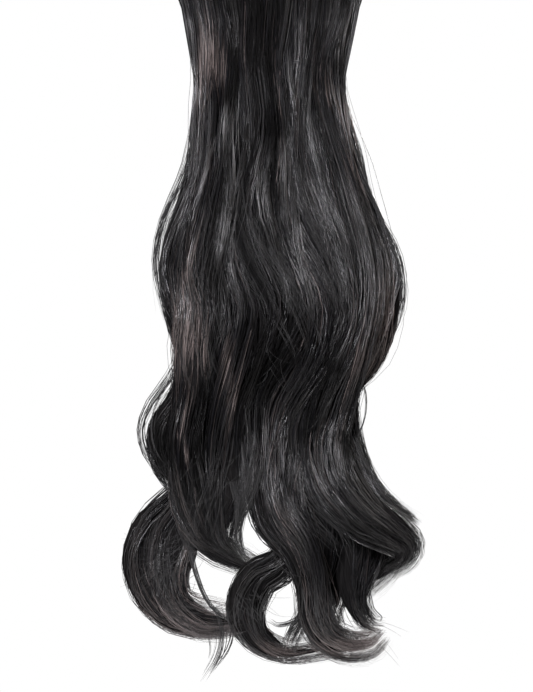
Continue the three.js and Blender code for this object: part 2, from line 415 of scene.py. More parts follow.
def oval(share):
    """The depth of a rounded section at a share of its half width."""
    return (1 - np.clip(np.abs(share), 0, OVAL_RIM) ** OVAL_POWER) ** (1 / OVAL_POWER)


def front_surface(drop):
    """How far forward the front of the hair is along its middle."""
    return np.interp(drop / MM, *np.array(FRONT_SURFACE).T) * MM


class Route:
    """A run of hair from its root to its tip, sampled finely, with the size of its section on the way.

    Effort counts the way in steps that are short where the route bends. Side is 1 in the front layer and -1
    in the back one, edge is 1 at the right edge of the body and -1 at the left one, and a free route has no
    root in the band.
    """

    SAMPLES_PER_ROW = 40
    LONGEST_STEP = 22 * MM
    WIDEST_TURN = 0.46
    THINNEST = 0.4 * MM
    BEND_SAMPLES = 25
    SHORTEST_STEP = 1e-9
    LEAST_BEND = 1e-3
    # Where locks come loose, before and after the parting line, and where the body begins to round off
    LOOSENS = -60 * MM, 70 * MM
    ROUNDS_OFF = 10 * MM, 60 * MM
    RIBBON_ENDS, RIBBON_THICK = 0.5, 5.0
    WISP_ENDS = 1.2, 0.6
    SIDES = {"front": 1.0, "middle": 0.0, "back": -1.0}
    body = table(BODY_COLUMNS, BODY_ROWS)
    side = 0.0
    edge = 0.0

    def __init__(self, across, drop, forward, wide, thick, free=True):
        self.free = free
        shares = np.linspace(0, len(drop) - 1, (len(drop) - 1) * self.SAMPLES_PER_ROW + 1)
        across, drop, forward = smooth_through(np.stack([across, drop, forward], 1), shares).T * MM
        self.places = np.stack([across, BAND_MIDDLE_Y - forward, BAND_TOP_Z - drop], 1)
        half_sizes = smooth_through(np.stack([wide, thick], 1), shares) * MM / 2
        self.half_wide, self.half_thick = np.maximum(half_sizes, self.THINNEST).T
        along = unit(np.gradient(self.places, axis=0))
        self.sideways = unit(np.cross(FRONT, along))
        self.outward = np.cross(along, self.sideways)
        steps = np.linalg.norm(np.diff(self.places, axis=0), axis=1)
        turns = np.arccos(np.clip((along[1:] * along[:-1]).sum(1), -1, 1))
        self.length = np.append(0, np.cumsum(steps))
        self.effort = np.append(0, np.cumsum(steps / self.LONGEST_STEP + turns / self.WIDEST_TURN))
        window = np.ones(self.BEND_SAMPLES) / self.BEND_SAMPLES
        bend = np.convolve(turns / np.maximum(steps, self.SHORTEST_STEP), window, "same")
        self.turn_radius = 1 / np.maximum(np.append(bend, bend[-1]), self.LEAST_BEND)
        self.drop = drop
        parting = BODY_ROWS[-1][0] * MM
        loosens = (parting + reach for reach in self.LOOSENS)
        self.loose = np.ones_like(drop) if free else ease(drop, *loosens)
        body_drop = self.body["drop"] * MM
        left, right, front, back = (self.body[name] * MM for name in BODY_COLUMNS[1:])
        self.body_middle = np.interp(drop, body_drop, (left + right) / 2)
        self.body_half = np.interp(drop, body_drop, (right - left) / 2)
        self.plane = np.interp(drop, body_drop, (front + back) / 2)

    @classmethod
    def of_lock(cls, layer_name, place, tail_rows):
        layer, body, tail = LAYERS[layer_name], cls.body, table(TAIL_COLUMNS, tail_rows)
        layer_width = (body["right"] - body["left"]) * layer["spread"]
        pitch = layer_width / layer["locks"]
        middle = (body["left"] + body["right"]) / 2
        depth = (body["front"] - body["back"]) / len(LAYERS)
        across = middle + (place + 0.5) * pitch - layer_width / 2
        forward = body["front"] - (layer["order"] + 0.5) * depth
        upper = {"across": across, "drop": body["drop"], "forward": forward, "wide": pitch, "thick": depth}
        route = cls(*(np.append(upper[name], tail[name]) for name in TAIL_COLUMNS), free=False)
        route.side = cls.SIDES[layer_name]
        if layer_name == "middle":
            route.edge = float(place == layer["locks"] - 1) - float(place == 0)
        return route

    @classmethod
    def of_ribbon(cls, width, rows):
        across, drop, height = np.array(rows, float).T
        forward = front_surface(drop * MM) / MM * oval(across / FRONT_HALF_WIDTH) + height
        wide = np.full(len(rows), float(width))
        wide[[0, -1]] *= cls.RIBBON_ENDS
        return cls(across, drop, forward, wide, np.full(len(rows), cls.RIBBON_THICK))

    @classmethod
    def of_wisp(cls, width, rows):
        across, drop, forward = np.array(rows, float).T
        wide = width * np.linspace(*cls.WISP_ENDS, len(rows))
        return cls(across, drop, forward, wide, wide)

    def at(self, efforts, name):
        """A value of the route at places counted in bending effort."""
        values = getattr(self, name)
        if values.ndim == 1:
            return np.interp(efforts, self.effort, values)
        return np.stack([np.interp(efforts, self.effort, column) for column in values.T], -1)

    def effort_at_drop(self, drop):
        """The effort at which the route comes to a drop in the body, where it only runs down."""
        upper = slice(0, len(BODY_ROWS) * self.SAMPLES_PER_ROW)
        return np.interp(drop, self.drop[upper], self.effort[upper])

    def rounded(self, points, effort, loose, length):
        """Rounds the body's section: towards its sides the front and the back come together."""
        side = (points[..., 0] - self.at(effort, "body_middle")) / self.at(effort, "body_half")
        plane = BAND_MIDDLE_Y - self.at(effort, "plane")
        flatten = 1 - (1 - loose) * (1 - oval(side)) * ease(length, *self.ROUNDS_OFF)
        points[..., 1] = plane + (points[..., 1] - plane) * flatten
        return points


# Where the front of the body is combed to one side: drop and reach, across and reach, and the shift, in
# millimetres.
COMBED = (
    (198, 44, -8, 48, -11),
    (286, 42, 14, 40, 15),
    (290, 55, -40, 36, -5),
)

# Where the hair gets more or less gloss, placed to lay painted highlights and painted shade over it, and
# where its tone is raised or lowered: partly browner hair, partly painted light, lighter on lit locks,
# rims and tips and darker in shaded hollows. Across, drop, half width and half length in millimetres, the
# lean to the right for each step down, the shine and the brown.
SHINE = (
    (-36, 60, 6, 22, 0.35, 0.7, 0.0),
    (-50, 75, 6, 22, 0.1, 0.2, 0.3),
    (-53, 116, 5, 24, 0.0, 0.3, 0.3),
    (55, 60, 7, 22, -0.3, 0.6, 0.0),
    (-2, 105, 11, 17, 0.0, 0.4, 0.0),
    (28, 101, 10, 20, 0.0, 0.35, 0.0),
    (-36, 141, 6, 16, -0.2, 0.7, 0.0),
    (-26, 157, 4, 28, -0.1, 0.35, 0.0),
    (-48, 172, 5, 30, -0.35, 0.35, 0.1),
    (-7, 180, 8, 24, 0.1, 0.6, 0.0),
    (32, 148, 6, 26, 0.35, 0.4, 0.0),
    (62, 142, 9, 24, 0.3, 0.5, 0.4),
    (22, 184, 12, 26, 0.25, 0.3, 0.0),
    (36, 211, 7, 18, 0.3, 0.6, 0.0),
    (60, 229, 11, 28, 0.15, 0.4, 0.0),
    (-33, 241, 7, 24, 0.0, 0.65, 0.0),
    (-54, 248, 10, 42, -0.08, 0.4, 0.12),
    (-60, 245, 4, 34, -0.3, 0.4, 0.3),
    (-82, 208, 6, 34, -0.3, 0.4, 0.6),
    (-64, 155, 5, 34, -0.1, 0.4, 0.45),
    (-75, 276, 9, 16, 0.0, -0.6, -0.1),
    (-88, 240, 7, 45, -0.1, 0.0, 0.4),
    (11, 241, 12, 14, 0.4, 0.35, 0.0),
    (30, 259, 6, 8, 0.5, 0.5, 0.15),
    (88, 264, 13, 40, 0.0, 0.45, 0.46),
    (-60, 298, 15, 32, 0.1, 0.4, 0.58),
    (-32, 315, 5, 45, 0.08, 0.4, 0.42),
    (15, 279, 3, 10, 0.6, 0.4, 0.0),
    (-6, 397, 12, 30, 0.1, 0.2, 0.0),
    (4, 372, 30, 13, 0.25, -0.35, 0.0),
    (16, 379, 8, 20, 0.2, 0.35, 0.0),
    (45, 397, 10, 28, 0.25, 0.4, 0.0),
    (70, 390, 6, 40, 0.3, 0.3, 0.0),
    (13, 432, 8, 18, 0.3, 0.5, 0.16),
    (-41, 412, 4, 24, -0.6, 0.35, 0.0),
    (-56, 427, 4, 22, 0.55, 0.3, 0.0),
    (0, 90, 90, 75, 0.0, -0.5, 0.0),
    (32, 462, 16, 30, 0.3, -0.4, -0.1),
    (0, 62, 22, 30, 0.0, -0.6, 0.0),
    (-88, 475, 34, 44, 0.0, 0.25, 0.1),
    (-56, 509, 34, 14, 0.0, 0.3, 0.3),
    (10, 536, 46, 9, 0.0, 0.3, 0.35),
    (78, 528, 18, 12, 0.0, 0.3, 0.35),
    (96, 215, 12, 50, 0.2, 0.35, 0.15),
    (-78, 200, 10, 45, -0.3, 0.25, 0.12),
    (-30, 99, 7, 20, 0.0, -0.45, 0.25),
    (-40, 116, 4, 20, 0.0, -0.35, 0.0),
    (13, 111, 3, 12, 0.0, -0.4, 0.0),
    (4, 140, 12, 17, 0.0, -0.8, -0.1),
    (43, 105, 6, 18, 0.0, -0.35, 0.25),
    (-45, 189, 7, 20, -0.1, -0.4, 0.0),
    (-19, 191, 4, 32, 0.0, -0.4, 0.0),
    (60, 165, 8, 18, 0.2, -0.4, 0.22),
    (4, 193, 4, 15, 0.2, -0.35, 0.0),
    (37, 236, 5, 30, 0.4, -0.5, 0.0),
    (-73, 236, 7, 18, 0.0, -0.4, 0.0),
    (-40, 251, 4, 28, 0.0, -0.45, 0.0),
    (-22, 223, 4, 18, 0.0, -0.35, 0.0),
    (-10, 257, 6, 14, 0.3, -0.5, 0.0),
    (-15, 285, 9, 20, 0.0, -0.6, 0.0),
    (28, 285, 12, 16, 0.0, -0.6, 0.0),
    (12, 328, 40, 34, 0.0, -0.35, -0.15),
    (0, 430, 130, 60, 0.0, 0.35, 0.0),
    (0, 530, 130, 26, 0.0, 0.35, 0.12),
    (78, 308, 16, 34, -0.4, 0.4, 0.42),
    (-49, 366, 16, 34, 0.0, -0.5, -0.2),
    (-81, 378, 12, 28, 0.0, -0.5, -0.25),
    (6, 397, 5, 38, 0.55, -0.5, 0.0),
    (49, 397, 3, 18, 0.45, -0.4, 0.0),
    (34, 437, 8, 25, 0.4, -0.7, 0.0),
    (52, 457, 18, 22, 0.0, -0.4, 0.0),
    (-34, 405, 6, 22, 0.0, -0.3, 0.0),
    (-63, 356, 2, 14, -0.35, 0.6, 0.8),
    (-63, 382, 2, 16, 0.2, 0.6, 0.8),
    (57, 112, 9, 22, 0.1, 0.0, 0.22),
    (66, 176, 9, 24, 0.2, 0.0, 0.25),
    (-44, 85, 10, 24, 0.0, 0.0, 0.22),
    (18, 420, 40, 16, 0.3, 0.3, 0.0),
    (25, 408, 8, 22, 0.45, 0.5, 0.1),
    (4, 400, 14, 24, 0.1, -0.2, 0.0),
    (0, 355, 80, 36, 0.0, 0.1, 0.1),
    (0, 180, 70, 16, 0.0, -0.12, 0.0),
    (0, 90, 60, 12, 0.0, -0.15, 0.0),
    (0, 120, 60, 12, 0.0, 0.18, 0.0),
    (-56, 420, 12, 14, 0.0, 0.2, 0.0),
    (72, 420, 10, 14, 0.6, 0.2, 0.0),
    (24, 410, 18, 24, 0.2, -0.12, 0.0),
    (88, 418, 10, 14, 0.9, 0.5, 0.0),
    (-40, 98, 12, 18, 0.1, -0.25, 0.22),
    (50, 122, 10, 22, 0.25, 0.0, 0.22),
    (0, 144, 60, 12, 0.0, 0.1, 0.0),
    (22, 215, 12, 55, 0.2, -0.14, 0.0),
    (-42, 160, 14, 24, -0.2, 0.14, 0.0),
    (78, 208, 8, 12, 0.5, 0.2, 0.0),
    (56, 300, 10, 14, 0.0, -0.18, 0.0),
    (-34, 330, 10, 14, 0.0, -0.18, 0.0),
    (11, 398, 6, 28, 0.5, -0.4, 0.0),
    (42, 404, 6, 26, 0.4, -0.4, 0.0),
    (-34, 90, 14, 16, 0.0, -0.2, 0.0),
)


def combed(across, drop):
    """How far the front's strands are combed sideways."""
    shift = np.zeros_like(across)
    for at_drop, long, at_across, wide, sideways in COMBED:
        near = ((drop / MM - at_drop) / long) ** 2 + ((across / MM - at_across) / wide) ** 2
        shift += sideways * MM * np.exp(-near)
    return shift


def shine_at(points):
    """How much more shine and brown there is at places: painted highlight and shade, and browner hair."""
    across, drop = points[..., 0] / MM, (BAND_TOP_Z - points[..., 2]) / MM
    shine, brown = np.zeros_like(across), np.zeros_like(across)
    for at_across, at_drop, wide, long, lean, gloss_and_painted_sheen, brown_and_painted_light in SHINE:
        down = drop - at_drop
        near = np.exp(-(((across - at_across - lean * down) / wide) ** 2) - (down / long) ** 2)
        shine += gloss_and_painted_sheen * near
        brown += brown_and_painted_light * near
    return shine, brown


# The roots are gathered inside the band, this far below its top edge, so that the hair leaves it in one line.
ROOT_DROP = 6 * MM
ROOT_REACH = 20 * MM
ROOT_GATHER = 0.75


class Tresses:
    """The tresses that a lock parts into: how each of them swings, lies and shines."""

    # Lengths in millimetres
    RIPPLE_LONG = 110, 180
    SWAY_LONG = 110, 190
    LOWER = 20
    STREAK_TURN = 300

    WIND = 0.45
    LIFT = 0.2
    SHINE = 0.18
    TONE = 0.08
    STREAKS = 6
    STREAK_WAVE = 7, 24
    LAST_PLACE = 0.9999

    def __init__(self, count, rng):
        self.count = count
        self.ripple_phase = rng.uniform(0, TURN, count)
        self.ripple_long = rng.uniform(*self.RIPPLE_LONG, count) * MM
        self.sway_phase = rng.uniform(0, TURN, count)
        self.sway_long = rng.uniform(*self.SWAY_LONG, count) * MM
        self.wind = rng.normal(0, self.WIND, count)
        self.lift = rng.normal(0, self.LIFT, count)
        self.lower = rng.normal(0, self.LOWER, count) * MM
        self.shine = rng.normal(0, self.SHINE, count)
        self.tone = rng.normal(0, self.TONE, count)
        self.tip_swing = rng.normal(0, 1, (2, count))
        self.streak_wave = rng.uniform(*self.STREAK_WAVE, self.STREAKS)
        self.streak_lean = rng.normal(0, TURN / (self.STREAK_TURN * MM), self.STREAKS)
        self.streak_phase = rng.uniform(0, TURN, self.STREAKS)

    def streak(self, lanes, length):
        """Shinier and duller streaks along the lock, for lanes side by side."""
        along = self.streak_lean * length[..., None]
        return np.sin(self.streak_wave * lanes[:, None, None] + along + self.streak_phase).sum(-1)

    def of(self, columns):
        """The tress of each column, and the column's place in it from side to side."""
        place = np.clip((columns + 1) / 2, 0, self.LAST_PLACE) * self.count
        return place.astype(int), (place % 1) * 2 - 1


def evenly(count, rng):
    """Places between -1 and 1, one in each of as many equal steps, in any order."""
    return (rng.permutation(count) + rng.random(count)) / count * 2 - 1


class Clumps:
    """The clumps that strands gather in: where each lies in its lock, how it swings and how it looks."""

    # The face of the body, and the edge locks, whose strands wrap round its side
    BODY_SPREAD = 1.1
    FACE_OVER, FACE_SPREAD = 0.78, 0.22
    EDGE_REACH, EDGE_TURN, EDGE_SPREAD, EDGE_OVER = 1.05, 1.25, 0.08, 2.8
    # The free lock, which has more clumps on its outer face
    FACE_MORE = 0.2
    TAIL_OVER = 0.74, 1.04
    # How much a clump differs from its tress
    WIND = 0.15
    RIPPLE_LAG, RIPPLE = 0.5, 0.4
    ODD_SHARE, ODD_RIPPLE = 0.2, 1.5
    RIPPLE_LOOSE = 1.1
    SWAY = 0.7
    TONE = 0.12
    SHINE = 0.18
    WIDE = 0.6, 1.4
    COMBED = 0.1, 1.45
    COMBED_DROP = 8
    TIP_OF_TRESS, TIP_OWN = 0.6, 0.7

    def __init__(self, count, route, tresses, rng):
        self.count = count
        self.column, self.level = evenly(count, rng), evenly(count, rng)
        self.tress, self.within = tresses.of(self.column)
        self.body_across, self.body_over = self.BODY_SPREAD * self.column, self.level
        if route.side:
            self.body_over = route.side * (self.FACE_OVER + self.FACE_SPREAD * self.level)
        if route.edge:
            wrap = self.EDGE_REACH - self.EDGE_TURN * self.level**2
            self.body_across = route.edge * wrap + self.EDGE_SPREAD * self.column
            self.body_over = self.EDGE_OVER * signed_power(self.level, 0.5)
        face = np.where(self.level + self.FACE_MORE * abs(route.side) > 0, 1.0, -1.0)
        face = face * rng.uniform(*self.TAIL_OVER, count)
        self.tail_over = face * np.sqrt(1 - np.minimum(self.column**2, 1))

        self.wind = tresses.wind[self.tress] + rng.normal(0, self.WIND, count)
        self.phase = rng.uniform(0, TURN, (2, count))
        lag = self.RIPPLE_LAG * self.within
        self.ripple_phase = tresses.ripple_phase[self.tress] + lag + rng.normal(0, self.RIPPLE, count)
        odd = np.where(rng.random(count) < self.ODD_SHARE, self.ODD_RIPPLE, 0.0)
        self.ripple_phase = self.ripple_phase + odd * rng.normal(0, 1, count)
        self.ripple_loose = rng.normal(0, self.RIPPLE_LOOSE, count)
        self.sway_phase = tresses.sway_phase[self.tress] + rng.normal(0, self.SWAY, count)
        self.tone = tresses.tone[self.tress] + rng.normal(0, self.TONE, count)
        self.shine = tresses.shine[self.tress] + rng.normal(0, self.SHINE, count)
        self.wide = rng.uniform(*self.WIDE, count)
        self.combed = rng.uniform(*self.COMBED, count)
        self.combed_drop = rng.normal(0, self.COMBED_DROP, count) * MM
        own = rng.normal(0, 1, (2, count))
        self.tip_swing = self.TIP_OF_TRESS * tresses.tip_swing[:, self.tress] + self.TIP_OWN * own


class Strands:
    """Strands along a route, gathered in clumps: their middle lines, tones, shines and thicknesses.

    Late strands come out of the body between two drops instead of from the band. The strands are moved step
    by step: across the lock, and over it towards its outer face.
    """

    # Where strands end: most clumps near the tip, the others and single strands somewhat before it
    NEAR_TIP = 0.7
    SHORT_OF_TIP = (0, 10), (10, 38)
    SHORTEST = 0.2
    RAGGED = 4
    FEWEST_STEPS = 7
    # How clumps turn round the free lock, and how it swells
    WAVER, WAVER_LONG = 0.1, 60 * MM
    SWELL_MIDDLE, SWELL, SWELL_LONG = 0.97, 0.06, 45 * MM
    SUNK, SUNK_SHARE = 0.1, 0.3
    # How tresses lie, sway and ripple
    SWAY_STARTS = 10 * MM, 90 * MM
    SWAY_ROOM, SWAY_LEAST = 11 * MM, 0.05
    TRESS_ROUND = 0.22
    RIPPLE_STARTS = 5 * MM, 50 * MM
    RIPPLE_ROOM, RIPPLE_LEAST = 5 * MM, 0.2
    LOWER = 11
    LOWER_STARTS = 60 * MM, 160 * MM
    # The furthest that a strand sinks below its place, so that it does not vanish in the inside of its lock
    DEEPEST = 3.5 * MM
    # How tips part
    TIPS = 0.8, 1.0
    FRAY = 0.4
    TIP_OVER = 0.6
    # How strands lie in their clump
    IN_CLUMP = 0.5
    ROLL, ROLL_LONG, ROLL_OVER = 0.5, 250 * MM, 0.5
    CLUMP_ROUND = 0.5 * MM
    STRAY_OVER = 1.2 * MM
    GATHER, GATHER_FROM, GATHER_TO = 0.3, 0.65, 0.95
    CLUMP_ROOM, CLUMP_ROOM_OVER = (0.05, 1.6), (0.05, 1.0)
    CLUMP_OVER = 6 * MM
    # How strands drift, stray ones further
    STRAY_DRIFT = 3.0, 8.0
    STRAY_LONG = 1.6
    DRIFT_STARTS = 20 * MM, 150 * MM
    DRIFT_LONG = 80, 170
    # The body's outline, which only stray strands leave
    RIM = 0.03
    STRAY_STARTS = 30 * MM, 130 * MM
    # How they look
    TONE, TONE_OWN, TONE_STRAY, TONE_TIP, TONE_LEAST = 0.34, 0.11, 0.1, 0.14, 0.04
    LANE_OWN = 0.02
    SHINE_OWN = 0.1
    # How strongly the shine follows its ups and downs
    LIVELY = 3.7
    # How thick they are
    THICK_OWN = 0.6, 1.2
    THICK_STRAY = 0.6
    TAPER, TAPER_FROM = 0.8, 0.74
    FINE_ROOT, FINE_SHARE = 0.3, 0.2

    def __init__(self, route, count, settings, rng, tresses, late=None, in_clump=None):
        self.route, self.count, self.settings, self.rng = route, count, settings, rng
        self.tresses, self.late = tresses, late
        clumps = max(count // (in_clump or settings.strands_in_clump), 2)
        self.clump = np.arange(count) % clumps
        self.reach(clumps)
        self.clumps = Clumps(clumps, route, tresses, rng)
        self.lay()
        self.swing()
        self.part_tips()
        self.spread()
        self.drift()
        self.settle()

    def each(self, values):
        """Each strand's value, of values for each clump."""
        return values[self.clump, None]

    def reach(self, clumps):
        """Where each strand begins and ends, and its stops on the way."""
        route, rng = self.route, self.rng
        whole = route.length[-1]
        begin = np.zeros(self.count)
        if self.late:
            begin = route.effort_at_drop(rng.uniform(*self.late, self.count) * MM)
        near_tip = rng.random(clumps) < self.NEAR_TIP
        near, far = (rng.uniform(*short, clumps) for short in self.SHORT_OF_TIP)
        short = np.minimum(np.where(near_tip, near, far) * MM, self.SHORTEST * whole)[self.clump]
        short = short + np.abs(rng.normal(0, self.RAGGED, self.count)) * MM
        end = np.interp(whole - short, route.length, route.effort)
        steps = max(int(math.ceil((end - begin).mean())), self.FEWEST_STEPS)
        self.share = np.linspace(0, 1, steps + 1)[None, :]
        self.effort = begin[:, None] + self.share * (end - begin)[:, None]
        self.places, self.drop = route.at(self.effort, "places"), route.at(self.effort, "drop")
        self.half_wide = route.at(self.effort, "half_wide")
        self.half_thick = route.at(self.effort, "half_thick")
        self.length, self.loose = route.at(self.effort, "length"), route.at(self.effort, "loose")
        self.progress = self.length / whole
        self.room = np.clip(self.half_wide / self.SWAY_ROOM, self.SWAY_LEAST, 1.0)

    def lay(self):
        """Lays the clumps over the face of the body, and on the front or the back of the free lock."""
        clumps, loose = self.clumps, self.loose
        column, tail_over = self.each(clumps.column), self.each(clumps.tail_over)
        waver = self.WAVER * np.sin(self.length / self.WAVER_LONG + self.each(clumps.phase[0])) * loose
        turn = self.each(clumps.wind) * loose * self.progress + waver
        swell = self.SWELL * np.sin(self.length / self.SWELL_LONG + self.each(clumps.phase[1]))
        fluff = self.settings.fluff * (self.SWELL_MIDDLE + swell)
        tail_x = (column * np.cos(turn) - tail_over * np.sin(turn)) * fluff
        tail_y = (column * np.sin(turn) + tail_over * np.cos(turn)) * fluff
        sunk = self.SUNK + (1 - self.SUNK) * ease(self.share, 0.0, self.SUNK_SHARE) if self.late else 1.0
        body_x, body_y = self.each(clumps.body_across), self.each(clumps.body_over) * sunk
        self.across = self.half_wide * (body_x + (tail_x - body_x) * loose)
        self.over = self.half_thick * (body_y + (tail_y - body_y) * loose)
        if self.route.side:
            self.over = self.over * sunk

        # The way out of the section
        facing = self.route.side or np.sign(self.each(clumps.level))
        out_x = tail_x * np.abs(tail_x) * loose
        out_y = facing * (1 - loose) + tail_y * loose
        size = np.maximum(np.hypot(out_x, out_y), 1e-6)
        self.out_x, self.out_y = out_x / size, out_y / size

    def swing(self):
        """Tresses lie over each other with rounded backs, sway, ripple in and out, and are combed."""
        clumps, tresses, settings = self.clumps, self.tresses, self.settings
        free = ease(self.length, *self.SWAY_STARTS)
        back = self.each(tresses.lift[clumps.tress] - self.TRESS_ROUND * clumps.within**2)
        rise = self.half_thick * back * free
        sway = settings.clump_sway * free * self.room
        sway_long = self.each(tresses.sway_long[clumps.tress])
        ripple_long = self.each(tresses.ripple_long[clumps.tress])
        swung = np.sin(TURN * self.length / sway_long + self.each(clumps.sway_phase))
        self.across = self.across + sway * swung
        ripple = settings.clump_ripple * ease(self.length, *self.RIPPLE_STARTS)
        ripple = ripple * np.clip(self.half_thick / self.RIPPLE_ROOM, self.RIPPLE_LEAST, 1)
        phase = self.each(clumps.ripple_phase) + self.each(clumps.ripple_loose) * self.loose
        rise = rise + ripple * np.sin(TURN * self.length / ripple_long + phase)
        if self.route.side > 0:
            own = self.rng.normal(0, self.LOWER, clumps.count) * MM
            lower = self.each(tresses.lower[clumps.tress] + own)
            swell = front_surface(self.drop - lower) - front_surface(self.drop)
            rise = rise + swell * ease(self.length, *self.LOWER_STARTS)
        rise = np.where(rise < 0, -self.DEEPEST * np.tanh(-rise / self.DEEPEST), rise)
        self.over = self.over + rise * np.where(self.out_y < 0, -1.0, 1.0)
        if self.route.side > 0:
            shift = combed(self.places[..., 0] + self.across, self.drop + self.each(clumps.combed_drop))
            self.across = self.across + shift * self.each(clumps.combed)

    def part_tips(self):
        ends = ease(self.progress, *self.TIPS) * self.settings.tip_swing * self.room
        fray = self.FRAY * self.rng.normal(0, 1, (2, self.count))
        aside, over = self.clumps.tip_swing[:, self.clump]
        self.across = self.across + ends * (aside + fray[0])[:, None]
        self.over = self.over + ends * (over * self.TIP_OVER + fray[1])[:, None]

    def spread(self):
        """Each strand keeps its own place in its clump, and gathers towards the tip."""
        rng, settings, progress = self.rng, self.settings, self.progress
        self.stray = rng.random(self.count) < settings.stray_share
        flat = rng.normal(0, self.IN_CLUMP, self.count)[:, None] * settings.clump_width
        flat = flat * self.each(self.clumps.wide)
        lift = rng.normal(0, self.IN_CLUMP, self.count)[:, None] * settings.clump_depth
        roll = rng.normal(0, self.ROLL, self.count)[:, None] * self.length / self.ROLL_LONG
        turned = flat * np.cos(roll) - lift * np.sin(roll)
        lift = flat * np.sin(roll) * self.ROLL_OVER + lift * np.cos(roll)
        lift = lift - self.CLUMP_ROUND * (turned / settings.clump_width) ** 2
        lift = lift + self.STRAY_OVER * self.stray[:, None]
        gather = 1 - self.GATHER * ease(progress, self.GATHER_FROM, self.GATHER_TO)
        gather = gather + self.GATHER * ease(progress, self.GATHER_TO, 1.0)
        flat = turned * gather * np.clip(self.half_wide / self.SWAY_ROOM, *self.CLUMP_ROOM)
        lift = lift * gather * np.clip(self.half_thick / self.CLUMP_OVER, *self.CLUMP_ROOM_OVER)
        self.across = self.across + flat * self.out_y + lift * self.out_x
        self.over = self.over + lift * self.out_y - flat * self.out_x

    def drift(self):
        rng, count, stray = self.rng, self.count, self.stray
        further = np.where(stray, rng.uniform(*self.STRAY_DRIFT, count), 1.0)[:, None]
        drift = self.settings.strand_drift * further * ease(self.length, *self.DRIFT_STARTS)
        drift = drift * (0.5 + 0.5 * self.loose)
        phase = rng.uniform(0, TURN, (2, count))[:, :, None]
        long = rng.uniform(*self.DRIFT_LONG, (2, count))[:, :, None] * MM
        long = long * np.where(stray, self.STRAY_LONG, 1.0)[None, :, None]
        self.across = self.across + drift * np.sin(TURN * self.length / long[0] + phase[0])
        self.over = self.over + drift * np.sin(TURN * self.length / long[1] + phase[1])

    def settle(self):
        """Sets the strands in their place: inside the body's outline, and at the band rooted in one line."""
        route, effort, length = self.route, self.effort, self.length
        sideways, outward = route.at(effort, "sideways"), route.at(effort, "outward")
        points = self.places + sideways * self.across[..., None] + outward * self.over[..., None]
        body_half = route.at(effort, "body_half")
        side = (points[..., 0] - route.at(effort, "body_middle")) / body_half
        inside = np.clip(side, -1, 1) * (1 - self.RIM * self.rng.random(self.count)[:, None])
        kept_in = np.where(self.stray[:, None], 1 - ease(length, *self.STRAY_STARTS), 1 - self.loose)
        points[..., 0] += (inside - side) * body_half * kept_in
        points = route.rounded(points, effort, self.loose, length)
        if not self.late and not route.free:
            rooted = 1 - ease(length, 0, ROOT_REACH)
            points[..., 2] += (BAND_TOP_Z - ROOT_DROP - points[:, :1, 2]) * rooted
            points[..., 1] += (BAND_MIDDLE_Y - points[..., 1]) * ROOT_GATHER * rooted
        self.points = points

    def made(self, brown=0.0, width=1.0):
        """The middle lines, and the tone, shine and thickness at each stop."""
        rng, count, settings, clumps = self.rng, self.count, self.settings, self.clumps
        # Painted highlight and painted shade from the SHINE table go into the tone and the gloss here.
        gloss_and_painted_sheen, brown_and_painted_light = shine_at(self.points)
        tone = self.TONE + brown + clumps.tone[self.clump] + rng.normal(0, self.TONE_OWN, count)
        tone = (tone + self.TONE_STRAY * self.stray)[:, None]
        tone = np.clip(tone + brown_and_painted_light + self.TONE_TIP * self.share**3, self.TONE_LEAST, 1)
        lane = clumps.level if self.route.edge else clumps.column
        lane = lane[self.clump] + rng.normal(0, self.LANE_OWN, count)
        gloss_and_painted_sheen = gloss_and_painted_sheen + (clumps.shine[self.clump] + rng.normal(0, self.SHINE_OWN, count))[:, None]
        gloss_and_painted_sheen = gloss_and_painted_sheen + settings.streak * self.tresses.streak(lane, self.length)
        shine = np.clip(settings.shine * np.exp(self.LIVELY * gloss_and_painted_sheen), 0, 1)
        thick = width * settings.strand_width / 2 * rng.uniform(*self.THICK_OWN, count)[:, None]
        thick = thick * np.where(self.stray, self.THICK_STRAY, 1.0)[:, None]
        thick = thick * (1 - self.TAPER * ease(self.share, self.TAPER_FROM, 1.0))
        if self.late or self.route.free:
            thick = thick * (self.FINE_ROOT + (1 - self.FINE_ROOT) * ease(self.share, 0.0, self.FINE_SHARE))
        return self.points, tone, shine, thick


class Flyaways:
    """Fine hairs that lie across the rest: their middle lines, tones, shines and thicknesses."""

    STOPS = 9
    LONG = 14, 36
    BEND = 0.9
    BOW, BOW_OWN = 3, 1.5
    # Light tones near the top of the tone ramp: a painted highlight on the fine hairs.
    TONE = 0.84, 1.0
    SHINE = 0.9
    THICK = 0.11, 0.19
    TAPER = 0.7

    @classmethod
    def made(cls, row, rng):
        count, across, drop, wide, long, follows, forward, heading, spread = row
        share = np.linspace(0, 1, cls.STOPS)[None, :]
        step = rng.uniform(*cls.LONG, count)[:, None] * MM / (cls.STOPS - 1)
        across = (across + wide * rng.uniform(-1, 1, count))[:, None] * MM
        drop = (drop + long * rng.uniform(-1, 1, count))[:, None] * MM
        turn = np.radians(heading + spread * rng.normal(0, 1, count))[:, None]
        turn = turn + rng.normal(0, cls.BEND, count)[:, None] * share
        across = across + np.cumsum(np.sin(turn) * step, 1)
        drop = drop + np.cumsum(np.cos(turn) * step, 1)
        bow = rng.uniform(0, cls.BOW, count)[:, None]
        bow = bow + rng.normal(0, cls.BOW_OWN, count)[:, None] * np.sin(np.pi * share)
        surface = front_surface(drop) * oval(across / (FRONT_HALF_WIDTH * MM))
        forward = (forward + bow) * MM + follows * surface
        points = np.stack([across, BAND_MIDDLE_Y - forward, BAND_TOP_Z - drop], -1)
        tone = rng.uniform(*cls.TONE, count)[:, None] * np.ones_like(share)
        thick = rng.uniform(*cls.THICK, count)[:, None] * MM * (1 - cls.TAPER * share**2)
        return points, tone, np.full_like(tone, cls.SHINE), thick


